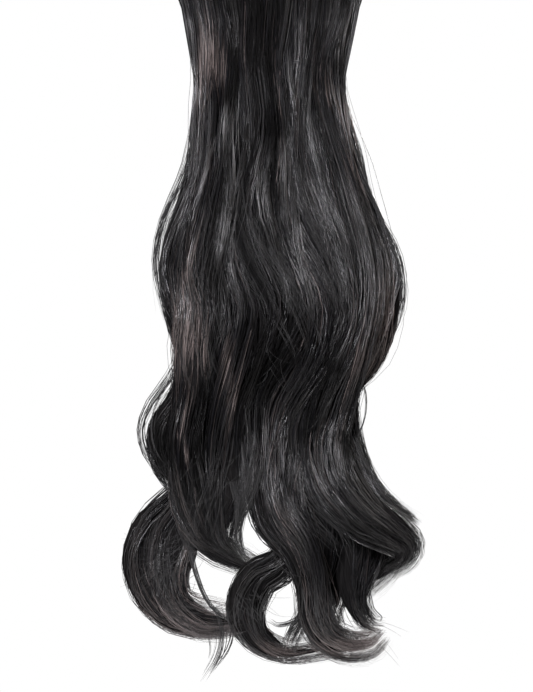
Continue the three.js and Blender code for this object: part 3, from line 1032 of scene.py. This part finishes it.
def tubes(points, thick, rng, sides=3):
    """Closed tubes along middle lines: their corners, faces, and each corner's strand, stop and side."""
    count, stops = points.shape[:2]
    along = unit(np.gradient(points, axis=1))
    first = unit(np.cross(np.broadcast_to(FRONT, along.shape), along))
    second = np.cross(along, first)
    angle = rng.uniform(0, TURN, count)[:, None, None] + np.arange(sides) * TURN / sides
    around = np.cos(angle)[..., None] * first[:, :, None] + np.sin(angle)[..., None] * second[:, :, None]
    corners = points[:, :, None] + around * thick[:, :, None, None]

    index = np.arange(count * stops * sides).reshape(count, stops, sides)
    here, there = index[:, :-1], index[:, 1:]
    ahead, ahead_there = np.roll(here, -1, 2), np.roll(there, -1, 2)
    walls = np.stack([here, ahead, ahead_there, there], -1).reshape(-1, 4)
    caps = np.concatenate([index[:, 0, ::-1], index[:, -1]])
    strand, stop, side = (a.ravel() for a in np.indices(index.shape))
    return corners.reshape(-1, 3), walls, caps, strand, stop, side


# The strands' map: tone to the right and shine upwards, with each strand a small patch of it.
BAKE_MAP = "OFBake"
MAP_EDGE = 0.02
MAP_TONE, MAP_SHINE = 0.96, 0.92
MAP_SIDE, MAP_END = 0.004, 0.04


def strand_mesh(name, points, tone, shine, thick, rng):
    """A mesh of strands, with each corner's tone and shine."""
    corners, walls, caps, strand, stop, side = tubes(points, thick, rng)
    tone, shine = tone[strand, stop], shine[strand, stop]
    mesh = bpy.data.meshes.new(name)
    mesh.vertices.add(len(corners))
    mesh.vertices.foreach_set("co", corners.astype(np.float32).ravel())
    loops = np.concatenate([walls.ravel(), caps.ravel()]).astype(np.int32)
    sizes = np.concatenate([np.full(len(walls), 4), np.full(len(caps), caps.shape[1])]).astype(np.int32)
    mesh.loops.add(len(loops))
    mesh.loops.foreach_set("vertex_index", loops)
    mesh.polygons.add(len(sizes))
    mesh.polygons.foreach_set("loop_start", np.append(0, np.cumsum(sizes)[:-1]).astype(np.int32))
    mesh.polygons.foreach_set("use_smooth", np.ones(len(sizes), bool))
    mesh.update(calc_edges=True)
    mesh.validate()
    for key, values in (("tone", tone), ("shine", shine)):
        mesh.attributes.new(key, "FLOAT", "POINT").data.foreach_set("value", values.astype(np.float32))
    share = stop / (points.shape[1] - 1)
    right = MAP_EDGE + MAP_TONE * tone + (side - 1) * MAP_SIDE
    up = MAP_EDGE + MAP_SHINE * shine + MAP_END * share
    spots = np.stack([right, up], 1)[loops]
    mesh.uv_layers.new(name=BAKE_MAP).data.foreach_set("uv", spots.astype(np.float32).ravel())
    return mesh


# The dense inside of a lock: its sides and ribs, where it ends and narrows, and its share of the section in
# the body and in the free lock.
CORE_SIDES = 20
CORE_STOPS = 1.3
CORE_RIB = 0.07
CORE_LEAST = 0.06
CORE_SQUARE = 0.5
CORE_ENDS = 10 * MM
CORE_NARROWS = 50 * MM
CORE_DENSE = 4.5 * MM, 9 * MM
CORE_ACROSS = 0.97, 0.93
CORE_OVER = 0.4, 0.58
CORE_OVER_EDGE = 1.7, 0.58
CORE_IN_BEND = 0.7


def core_mesh(name, route):
    """The dense inside of a lock: a ribbed closed loft inside its strands."""
    stops = int(math.ceil(CORE_STOPS * route.effort[-1]))
    whole = route.length[-1]
    effort = np.linspace(0, np.interp(whole - CORE_ENDS, route.length, route.effort), stops + 1)
    places, sideways, outward = (route.at(effort, key) for key in ("places", "sideways", "outward"))
    half_wide, half_thick = route.at(effort, "half_wide"), route.at(effort, "half_thick")
    loose, length = route.at(effort, "loose"), route.at(effort, "length")
    angle = np.arange(CORE_SIDES)[None] * TURN / CORE_SIDES
    ribs = 1 + CORE_RIB * np.where(np.arange(CORE_SIDES) % 2, 1, -1)[None]
    dense = ease(half_wide, *CORE_DENSE) * (1 - ease(length, whole - CORE_NARROWS, whole - CORE_ENDS))
    ribs = ribs * (CORE_LEAST + (1 - CORE_LEAST) * np.maximum(dense, 1 - loose))[:, None]
    square = (CORE_SQUARE + (1 - CORE_SQUARE) * loose)[:, None]
    parts = CORE_ACROSS, CORE_OVER_EDGE if route.edge else CORE_OVER
    fill_across, fill_over = (part[0] + (part[1] - part[0]) * loose for part in parts)
    wide = np.minimum(fill_across * half_wide, CORE_IN_BEND * route.at(effort, "turn_radius"))
    across = wide[:, None] * ribs * signed_power(np.cos(angle), square)
    over = (fill_over * half_thick)[:, None] * ribs * signed_power(np.sin(angle), square)
    rings = places[:, None] + sideways[:, None] * across[..., None] + outward[:, None] * over[..., None]
    around = np.repeat(effort[:, None], CORE_SIDES, 1)
    rings = route.rounded(rings, around, loose[:, None], length[:, None])

    shape = bmesh.new()
    ring = bmesh.ops.create_circle(shape, cap_ends=False, segments=CORE_SIDES, radius=1)["verts"]
    edges = list(shape.edges)
    place = dict(zip(ring, range(CORE_SIDES), strict=True))
    for corner, spot in place.items():
        corner.co = rings[0, spot]
    first_edges = edges
    for stop in range(1, stops + 1):
        grown = bmesh.ops.extrude_edge_only(shape, edges=edges)["geom"]
        edges = [part for part in grown if isinstance(part, bmesh.types.BMEdge)]
        fresh = [part for part in grown if isinstance(part, bmesh.types.BMVert)]
        followed = {}
        for corner in fresh:
            parent = next(e.other_vert(corner) for e in corner.link_edges if e.other_vert(corner) in place)
            followed[corner] = place[parent]
        for corner, spot in followed.items():
            corner.co = rings[stop, spot]
        place = followed
    bmesh.ops.holes_fill(shape, edges=first_edges + edges, sides=0)
    bmesh.ops.recalc_face_normals(shape, faces=shape.faces)
    return smooth_mesh(name, shape)


def smooth_mesh(name, shape):
    """A smoothly shaded mesh of a finished shape."""
    for face in shape.faces:
        face.smooth = True
    mesh = bpy.data.meshes.new(name)
    shape.to_mesh(mesh)
    shape.free()
    return mesh


def joined(name, meshes):
    """One mesh of several."""
    shape = bmesh.new()
    for mesh in meshes:
        shape.from_mesh(mesh)
        bpy.data.meshes.remove(mesh)
    whole = bpy.data.meshes.new(name)
    shape.to_mesh(whole)
    shape.free()
    return whole


def shown(name, mesh, finish):
    """An object in the scene that rides with the extension."""
    piece = bpy.data.objects.new(name, mesh)
    bpy.context.scene.collection.objects.link(piece)
    mesh.materials.clear()
    mesh.materials.append(finish)
    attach(piece, "root")
    return piece


class Value:
    """A socket of a node tree, with the operators that its maths needs."""

    def __init__(self, finish, socket):
        self.finish, self.socket = finish, socket

    def maths(self, operation, first, second):
        return self.finish.node("ShaderNodeMath", {"operation": operation}, {0: first, 1: second})

    def __add__(self, other):
        return self.maths("ADD", self, other)

    def __radd__(self, other):
        return self.maths("ADD", other, self)

    def __sub__(self, other):
        return self.maths("SUBTRACT", self, other)

    def __rsub__(self, other):
        return self.maths("SUBTRACT", other, self)

    def __mul__(self, other):
        return self.maths("MULTIPLY", self, other)

    def __rmul__(self, other):
        return self.maths("MULTIPLY", other, self)


class Finish:
    """A material whose nodes are written as expressions."""

    def __init__(self, name):
        self.material = bpy.data.materials.new(name)
        self.material.use_nodes = True
        self.nodes, self.links = self.material.node_tree.nodes, self.material.node_tree.links
        self.shader = self.nodes["Principled BSDF"]

    def node(self, kind, settings=None, inputs=None, output=0):
        """Adds a node with its settings and inputs, and gives one of its outputs."""
        made = self.nodes.new(kind)
        for key, value in (settings or {}).items():
            if key == "stops":
                self.set_stops(made.color_ramp, value)
            else:
                setattr(made, key, value)
        for key, value in (inputs or {}).items():
            self.feed(made.inputs[key], value)
        return Value(self, made.outputs[output])

    @staticmethod
    def set_stops(ramp, stops):
        while len(ramp.elements) < len(stops):
            ramp.elements.new(1.0)
        for element, (position, colour) in zip(ramp.elements, stops, strict=True):
            element.position = position
            element.color = (*colour, 1.0)

    def feed(self, socket, value):
        if isinstance(value, Value):
            self.links.new(value.socket, socket)
        else:
            socket.default_value = value

    def surface(self, **inputs):
        """Sets the shader's sockets, named with underscores for spaces."""
        for key, value in inputs.items():
            self.feed(self.shader.inputs[key.replace("_", " ")], value)
        return self.material

    def attribute(self, name):
        return self.node("ShaderNodeAttribute", {"attribute_name": name}, output="Fac")

    def place(self):
        return self.node("ShaderNodeTexCoord", output="Object")

    def bump(self, height, strength, distance):
        inputs = {"Strength": strength, "Distance": distance, "Height": height}
        return self.node("ShaderNodeBump", {}, inputs, "Normal")

    def ramp(self, value, *stops):
        return self.node("ShaderNodeValToRGB", {"stops": stops}, {"Fac": value}, "Color")


def hair_finish(settings):
    """Fine smooth near-black fibre: cooler and browner strands, shinier and duller places, painted light."""
    finish = Finish("hair")
    tone, shine = finish.attribute("tone"), finish.attribute("shine")
    colour = finish.ramp(
        tone,
        # The two darkest stops, reached where tones are lowered, are partly darker strands and partly painted
        # shade.
        (0.0, [0.3 * c for c in settings.deep]),
        (0.1, [0.6 * c for c in settings.deep]),
        (0.4, settings.deep),
        (0.62, settings.cool),
        (0.85, settings.brown),
        # The lightest brown, reached only where tones are raised, is a painted highlight on lit locks, rims
        # and tips.
        (1.0, [4.6 * c for c in settings.brown]),
    )
    return finish.surface(
        Base_Color=colour,
        Roughness=settings.roughness + 0.2 - 0.2 * tone,
        IOR=1.55,
        Specular_IOR_Level=0.02,
        # The gloss is higher where painted highlights lie and lower where painted shade lies.
        Coat_Weight=shine,
        Coat_Roughness=settings.roughness,
        Coat_IOR=1.6,
    )


def depths_finish(settings):
    """The inside of a lock, where hardly any light comes back."""
    finish = Finish("hair_depths")
    streaks = finish.node("ShaderNodeMapping", {}, {"Vector": finish.place(), "Scale": (900.0, 900.0, 60.0)})
    streak = finish.node("ShaderNodeTexNoise", {}, {"Vector": streaks, "Scale": 1.0, "Detail": 2.0}, "Fac")
    dark, light = ([share * c for c in settings.deep] for share in (0.9, 2.2))
    colour = finish.ramp(streak, (0.3, dark), (0.7, light))
    return finish.surface(Base_Color=colour, Roughness=0.8 + 0.2 * streak, Specular_IOR_Level=0.0)


def tape_finish(settings):
    """Woven tape: crossed threads with a little relief."""
    finish = Finish("woven_tape")
    place = finish.place()
    fine = {"Vector": place, "Scale": 520.0}
    warp = finish.node("ShaderNodeTexWave", {"wave_type": "BANDS", "bands_direction": "X"}, fine, "Fac")
    weft = finish.node("ShaderNodeTexWave", {"wave_type": "BANDS", "bands_direction": "Z"}, fine, "Fac")
    mottle = finish.node("ShaderNodeTexNoise", {}, {"Vector": place, "Scale": 300.0, "Detail": 3.0}, "Fac")
    weave = warp * weft
    shade = [0.4 * c for c in settings.tape]
    colour = finish.ramp(weave * 0.7 + mottle * 0.3, (0.1, shade), (0.8, settings.tape))
    relief = finish.bump(weave, 0.5, 0.3 * MM)
    return finish.surface(
        Base_Color=colour, Roughness=0.7 + 0.2 * mottle, Specular_IOR_Level=0.2, Normal=relief
    )


def thread_finish(settings):
    """Twisted sewing thread."""
    finish = Finish("sewing_thread")
    place = finish.place()
    twist = finish.node(
        "ShaderNodeTexWave",
        {"wave_type": "BANDS", "bands_direction": "DIAGONAL"},
        {"Vector": place, "Scale": 900.0},
        "Fac",
    )
    colour = finish.ramp(twist, (0.2, [0.5 * c for c in settings.thread]), (0.8, settings.thread))
    return finish.surface(Base_Color=colour, Roughness=0.45 + 0.2 * twist)


def enamel_finish(settings):
    """Baked satin enamel on spring steel, with a faint mottle."""
    finish = Finish("baked_enamel")
    place = finish.place()
    mottle = finish.node("ShaderNodeTexNoise", {}, {"Vector": place, "Scale": 260.0, "Detail": 4.0}, "Fac")
    colour = finish.ramp(mottle, (0.3, [0.75 * c for c in settings.enamel]), (0.7, settings.enamel))
    relief = finish.bump(mottle, 0.15, 0.1 * MM)
    return finish.surface(
        Base_Color=colour,
        Roughness=0.46 + 0.16 * mottle,
        Specular_IOR_Level=0.3,
        Normal=relief,
        Coat_Weight=0.06,
    )


def length_property(name, description, millimetres):
    return FloatProperty(name=name, description=description, default=millimetres * MM, unit="LENGTH")


def colour_property(name, description, default):
    return FloatVectorProperty(name=name, description=description, default=default, subtype="COLOR")


def factor_property(name, description, default):
    return FloatProperty(name=name, description=description, default=default, subtype="FACTOR")


def power_property(name, description, default):
    return FloatProperty(name=name, description=description, default=default, unit="POWER")


class HairSettings(bpy.types.PropertyGroup):
    seed: IntProperty(name="Seed", description="Which of the possible falls of hair is made", default=7)
    density: factor_property("Density", "Share of each lock's strands that are laid", 0.95)
    strands_in_clump: IntProperty(
        name="Strands in a clump", description="Strands that run together", default=9
    )
    clump_width: length_property("Clump width", "How far a clump's strands spread side by side", 3.4)
    clump_depth: length_property("Clump depth", "How far a clump's strands lie over each other", 1.3)
    clump_sway: length_property("Clump sway", "How far a clump swings to the side", 3.2)
    clump_ripple: length_property("Clump ripple", "How far a clump swings in and out", 3.3)
    tip_swing: length_property("Tip swing", "How far the tips of clumps part", 4.5)
    fluff: FloatProperty(name="Fluff", description="How far the free locks open out", default=1.02)
    strand_drift: length_property("Strand drift", "How far a strand swings from its clump", 0.6)
    stray_share: factor_property("Stray share", "Share of strands that leave their clump", 0.07)
    strand_width: length_property("Strand width", "Width of a strand at the band", 0.6)
    deep: colour_property("Deep", "Colour of most strands", (0.0042, 0.004, 0.004))
    cool: colour_property("Cool", "Colour of the cooler strands", (0.0055, 0.0056, 0.0068))
    brown: colour_property("Brown", "Colour of the browner strands", (0.0255, 0.0212, 0.0198))
    shine: factor_property("Shine", "Gloss of the hair, where it neither shines more nor less", 0.21)
    streak: factor_property("Streaks", "How much the shine differs from streak to streak", 0.16)
    roughness: factor_property("Roughness", "Roughness of the shiniest strands", 0.3)


class BandSettings(bpy.types.PropertyGroup):
    tape: colour_property("Tape", "Colour of the woven tape", (0.0075, 0.007, 0.007))
    thread: colour_property("Thread", "Colour of the sewing thread", (0.022, 0.02, 0.02))
    stitch: length_property("Stitch", "Length of a stitch", 2.6)
    stitch_pitch: length_property("Stitch pitch", "From stitch to stitch", 3.2)
    thread_width: length_property("Thread width", "Width of the thread", 0.5)
    enamel: colour_property("Enamel", "Colour of the combs", (0.009, 0.009, 0.01))


class StageSettings(bpy.types.PropertyGroup):
    lens: FloatProperty(name="Lens", description="Focal length in millimetres", default=120.0)
    key_power: power_property("Key light", "Power of the main softbox", 88.0)
    left_power: power_property("Left light", "Power of the left softbox", 17.0)
    right_power: power_property("Right light", "Power of the right softbox", 28.0)
    back_power: power_property("Back light", "Power of the softbox behind", 95.0)
    surroundings: FloatProperty(name="Surroundings", description="Light from all round", default=0.19)


# The rows of stitches, from the middle of the band in millimetres, and the room left at their two ends.
STITCH_ROWS = (-3.6, 0.0, 3.6)
STITCH_MARGIN = 4 * MM


class HAIR_OT_locks(bpy.types.Operator):
    """Lay the strands of every lock"""

    bl_idname = "hair.locks"
    bl_label = "Lay the locks"

    FULL_SHARE = 0.62
    LATE_SHARE = 0.56
    LATE_DROPS = 175, 255
    SEED_STEP = 100

    def execute(self, context):
        settings = context.scene.hair_settings
        finish = hair_finish(settings)
        cores = []
        for number, (name, (layer, place, count, brown, tail)) in enumerate(LOCKS.items()):
            rng = np.random.default_rng(settings.seed + self.SEED_STEP * number)
            route = Route.of_lock(layer, place, tail)
            hidden = layer == "middle" and not route.edge
            full = 0 if hidden else round(count * self.FULL_SHARE * settings.density)
            late = round(count * (1.0 if hidden else self.LATE_SHARE) * settings.density)
            tresses = Tresses(2 if layer == "middle" else 3, rng)
            strands = Strands(route, late, settings, rng, tresses, self.LATE_DROPS)
            meshes = [strand_mesh("late", *strands.made(brown), rng)]
            if full:
                strands = Strands(route, full, settings, rng, tresses)
                meshes.append(strand_mesh("full", *strands.made(brown), rng))
            piece = shown(name + "_hair", joined(name + "_hair", meshes), finish)
            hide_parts(name)
            cores.append(core_mesh(name + "_core", route))
        shown("hair_depths", joined("hair_depths", cores), depths_finish(settings))
        return {"FINISHED"}


class HAIR_OT_ribbons(bpy.types.Operator):
    """Lay the ribbons of hair over the front"""

    bl_idname = "hair.ribbons"
    bl_label = "Lay the ribbons"

    SEED = 3000
    WIDTH = 0.42
    IN_CLUMP = 2

    def execute(self, context):
        settings = context.scene.hair_settings
        rng = np.random.default_rng(settings.seed + self.SEED)
        meshes = []
        for name, (count, width, brown, rows) in RIBBONS.items():
            route = Route.of_ribbon(width, rows)
            strands = Strands(route, count, settings, rng, Tresses(1, rng), in_clump=self.IN_CLUMP)
            meshes.append(strand_mesh(name, *strands.made(brown, self.WIDTH), rng))
        shown("hair_ribbons", joined("hair_ribbons", meshes), bpy.data.materials["hair"])
        return {"FINISHED"}


class HAIR_OT_wisps(bpy.types.Operator):
    """Lay the thin wisps that leave the locks"""

    bl_idname = "hair.wisps"
    bl_label = "Lay the wisps"

    SEED = 5000
    BROWN = 0.2
    WIDTH = 0.7
    IN_CLUMP = 2

    def execute(self, context):
        settings = context.scene.hair_settings
        rng = np.random.default_rng(settings.seed + self.SEED)
        meshes = []
        for name, (count, width, rows) in WISPS.items():
            route = Route.of_wisp(width, rows)
            strands = Strands(route, count, settings, rng, Tresses(1, rng), in_clump=self.IN_CLUMP)
            meshes.append(strand_mesh(name, *strands.made(self.BROWN, self.WIDTH), rng))
        meshes.extend(strand_mesh("flyaways", *Flyaways.made(row, rng), rng) for row in FLYAWAYS)
        shown("hair_wisps", joined("hair_wisps", meshes), bpy.data.materials["hair"])
        return {"FINISHED"}


class HAIR_OT_band(bpy.types.Operator):
    """Finish the band and sew its rows of stitches"""

    bl_idname = "hair.band"
    bl_label = "Sew the band"

    def execute(self, context):
        settings = context.scene.band_settings
        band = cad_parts["weft_band"]
        band.data.materials.clear()
        band.data.materials.append(tape_finish(settings))
        shape = bmesh.new()
        middle_z = (BAND_LOW.z + BAND_HIGH.z) / 2
        count = int((BAND_HIGH.x - BAND_LOW.x - STITCH_MARGIN) / settings.stitch_pitch)
        half_thread = settings.thread_width / 2
        size = Matrix.Diagonal((settings.stitch / 2, half_thread, half_thread, 1))
        for row in STITCH_ROWS:
            for face_y in (BAND_LOW.y, BAND_HIGH.y):
                for number in range(count):
                    x = (number - (count - 1) / 2) * settings.stitch_pitch
                    place = Matrix.Translation((x, face_y, middle_z + row * MM))
                    bmesh.ops.create_uvsphere(
                        shape, u_segments=6, v_segments=4, radius=1, matrix=place @ size
                    )
        shown("weft_stitches", smooth_mesh("weft_stitches", shape), thread_finish(settings))
        return {"FINISHED"}


class HAIR_OT_combs(bpy.types.Operator):
    """Finish the snap combs"""

    bl_idname = "hair.combs"
    bl_label = "Finish the combs"

    def execute(self, context):
        finish = enamel_finish(context.scene.band_settings)
        for name in ("comb_left", "comb_middle", "comb_right"):
            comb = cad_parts[name]
            comb.data.materials.clear()
            comb.data.materials.append(finish)
        return {"FINISHED"}


# The camera shows the photo's height at the photo's scale.
PHOTO_TALL = 692
PIXEL = 0.75 * MM
SIGHT = Vector((-2.6 * MM, BAND_MIDDLE_Y - 20 * MM, -301.5 * MM))
SENSOR_WIDTH = 36.0
FURTHEST_SEEN = 50.0
FLOOR_Z = -0.75
FLOOR_RADIUS = 1.05
FLOOR_SIDES = 96
FLOOR_FADES = 0.2, FLOOR_RADIUS - 0.05
FLOOR_GREY = 0.82


class HAIR_OT_stage(bpy.types.Operator):
    """Set the camera, the softboxes, the floor and the white surroundings"""

    bl_idname = "hair.stage"
    bl_label = "Set the stage"

    def execute(self, context):
        settings = context.scene.stage_settings
        self.camera(context, settings)
        self.lights(context, settings)
        self.floor(context)
        self.surroundings(context, settings)
        context.scene.view_settings.view_transform = "Standard"
        return {"FINISHED"}

    def camera(self, context, settings):
        data = bpy.data.cameras.new("camera")
        data.lens = settings.lens
        data.sensor_width = SENSOR_WIDTH
        data.clip_end = FURTHEST_SEEN
        tall = PHOTO_TALL * PIXEL
        distance = tall * settings.lens / data.sensor_width
        camera = bpy.data.objects.new("camera", data)
        camera.location = SIGHT + Vector((0, -distance, 0))
        camera.rotation_euler = (math.pi / 2, 0, 0)
        context.scene.collection.objects.link(camera)
        context.scene.camera = camera

    def lights(self, context, settings):
        rows = (
            ("key_softbox", (-0.5, -1.85, 0.46), 0.5, settings.key_power, (0.96, 0.94, 1.0)),
            ("left_softbox", (-1.7, -0.6, 0.35), 1.5, settings.left_power, (1.0, 0.92, 0.88)),
            ("right_softbox", (1.7, -0.6, 0.35), 1.5, settings.right_power, (1.0, 0.92, 0.88)),
            ("back_softbox", (0.5, 1.85, 0.5), 1.0, settings.back_power, (1.0, 1.0, 1.0)),
        )
        for name, place, size, power, colour in rows:
            data = bpy.data.lights.new(name, "AREA")
            data.shape = "DISK"
            data.size = size
            data.energy = power
            data.color = colour
            light = bpy.data.objects.new(name, data)
            light.location = place
            light.rotation_euler = (SIGHT - Vector(place)).to_track_quat("-Z", "Y").to_euler()
            light.visible_camera = False
            context.scene.collection.objects.link(light)

    def floor(self, context):
        shape = bmesh.new()
        lowered = Matrix.Translation((0, 0, FLOOR_Z))
        bmesh.ops.create_circle(
            shape, cap_ends=True, segments=FLOOR_SIDES, radius=FLOOR_RADIUS, matrix=lowered
        )
        mesh = bpy.data.meshes.new("floor")
        shape.to_mesh(mesh)
        shape.free()
        finish = Finish("pale_floor")
        centre = {"Vector": finish.place(), "Location": (0, 0, -FLOOR_Z)}
        level = finish.node("ShaderNodeMapping", {}, centre)
        away = finish.node("ShaderNodeVectorMath", {"operation": "LENGTH"}, {0: level}, "Value")
        solid = finish.ramp(away, (FLOOR_FADES[0], (1, 1, 1)), (FLOOR_FADES[1], (0, 0, 0)))
        grey = (FLOOR_GREY, FLOOR_GREY, FLOOR_GREY, 1)
        mesh.materials.append(finish.surface(Base_Color=grey, Roughness=0.9, Alpha=solid))
        floor = bpy.data.objects.new("floor", mesh)
        context.scene.collection.objects.link(floor)

    def surroundings(self, context, settings):
        world = bpy.data.worlds.new("surroundings")
        context.scene.world = world
        world.use_nodes = True
        nodes, links = world.node_tree.nodes, world.node_tree.links
        seen = nodes.new("ShaderNodeLightPath")
        light = nodes["Background"]
        light.inputs["Color"].default_value = (1, 1, 1, 1)
        light.inputs["Strength"].default_value = settings.surroundings
        white = nodes.new("ShaderNodeBackground")
        white.inputs["Strength"].default_value = 1.0
        white.inputs["Color"].default_value = (1, 1, 1, 1)
        both = nodes.new("ShaderNodeMixShader")
        links.new(seen.outputs["Is Camera Ray"], both.inputs[0])
        links.new(light.outputs[0], both.inputs[1])
        links.new(white.outputs[0], both.inputs[2])
        links.new(both.outputs[0], nodes["World Output"].inputs["Surface"])


class HAIR_PT_panel(bpy.types.Panel):
    bl_idname = "HAIR_PT_panel"
    bl_label = "Hair extension"
    bl_space_type = "VIEW_3D"
    bl_region_type = "UI"
    bl_category = "Hair extension"

    def draw(self, context):
        for group in (context.scene.hair_settings, context.scene.band_settings, context.scene.stage_settings):
            box = self.layout.box()
            for name in group.__annotations__:
                box.prop(group, name)
        for operator in OPERATORS:
            self.layout.operator(operator.bl_idname)


GROUPS = {"hair_settings": HairSettings, "band_settings": BandSettings, "stage_settings": StageSettings}
OPERATORS = (HAIR_OT_locks, HAIR_OT_ribbons, HAIR_OT_wisps, HAIR_OT_band, HAIR_OT_combs, HAIR_OT_stage)


def register():
    for kind in (*GROUPS.values(), *OPERATORS, HAIR_PT_panel):
        bpy.utils.register_class(kind)
    for name, kind in GROUPS.items():
        setattr(bpy.types.Scene, name, PointerProperty(type=kind))


def unregister():
    for name in GROUPS:
        delattr(bpy.types.Scene, name)
    for kind in reversed((*GROUPS.values(), *OPERATORS, HAIR_PT_panel)):
        bpy.utils.unregister_class(kind)


def main():
    register()
    bpy.ops.hair.locks()
    bpy.ops.hair.ribbons()
    bpy.ops.hair.wisps()
    bpy.ops.hair.band()
    bpy.ops.hair.combs()
    bpy.ops.hair.stage()


if __name__ == "__main__":
    main()
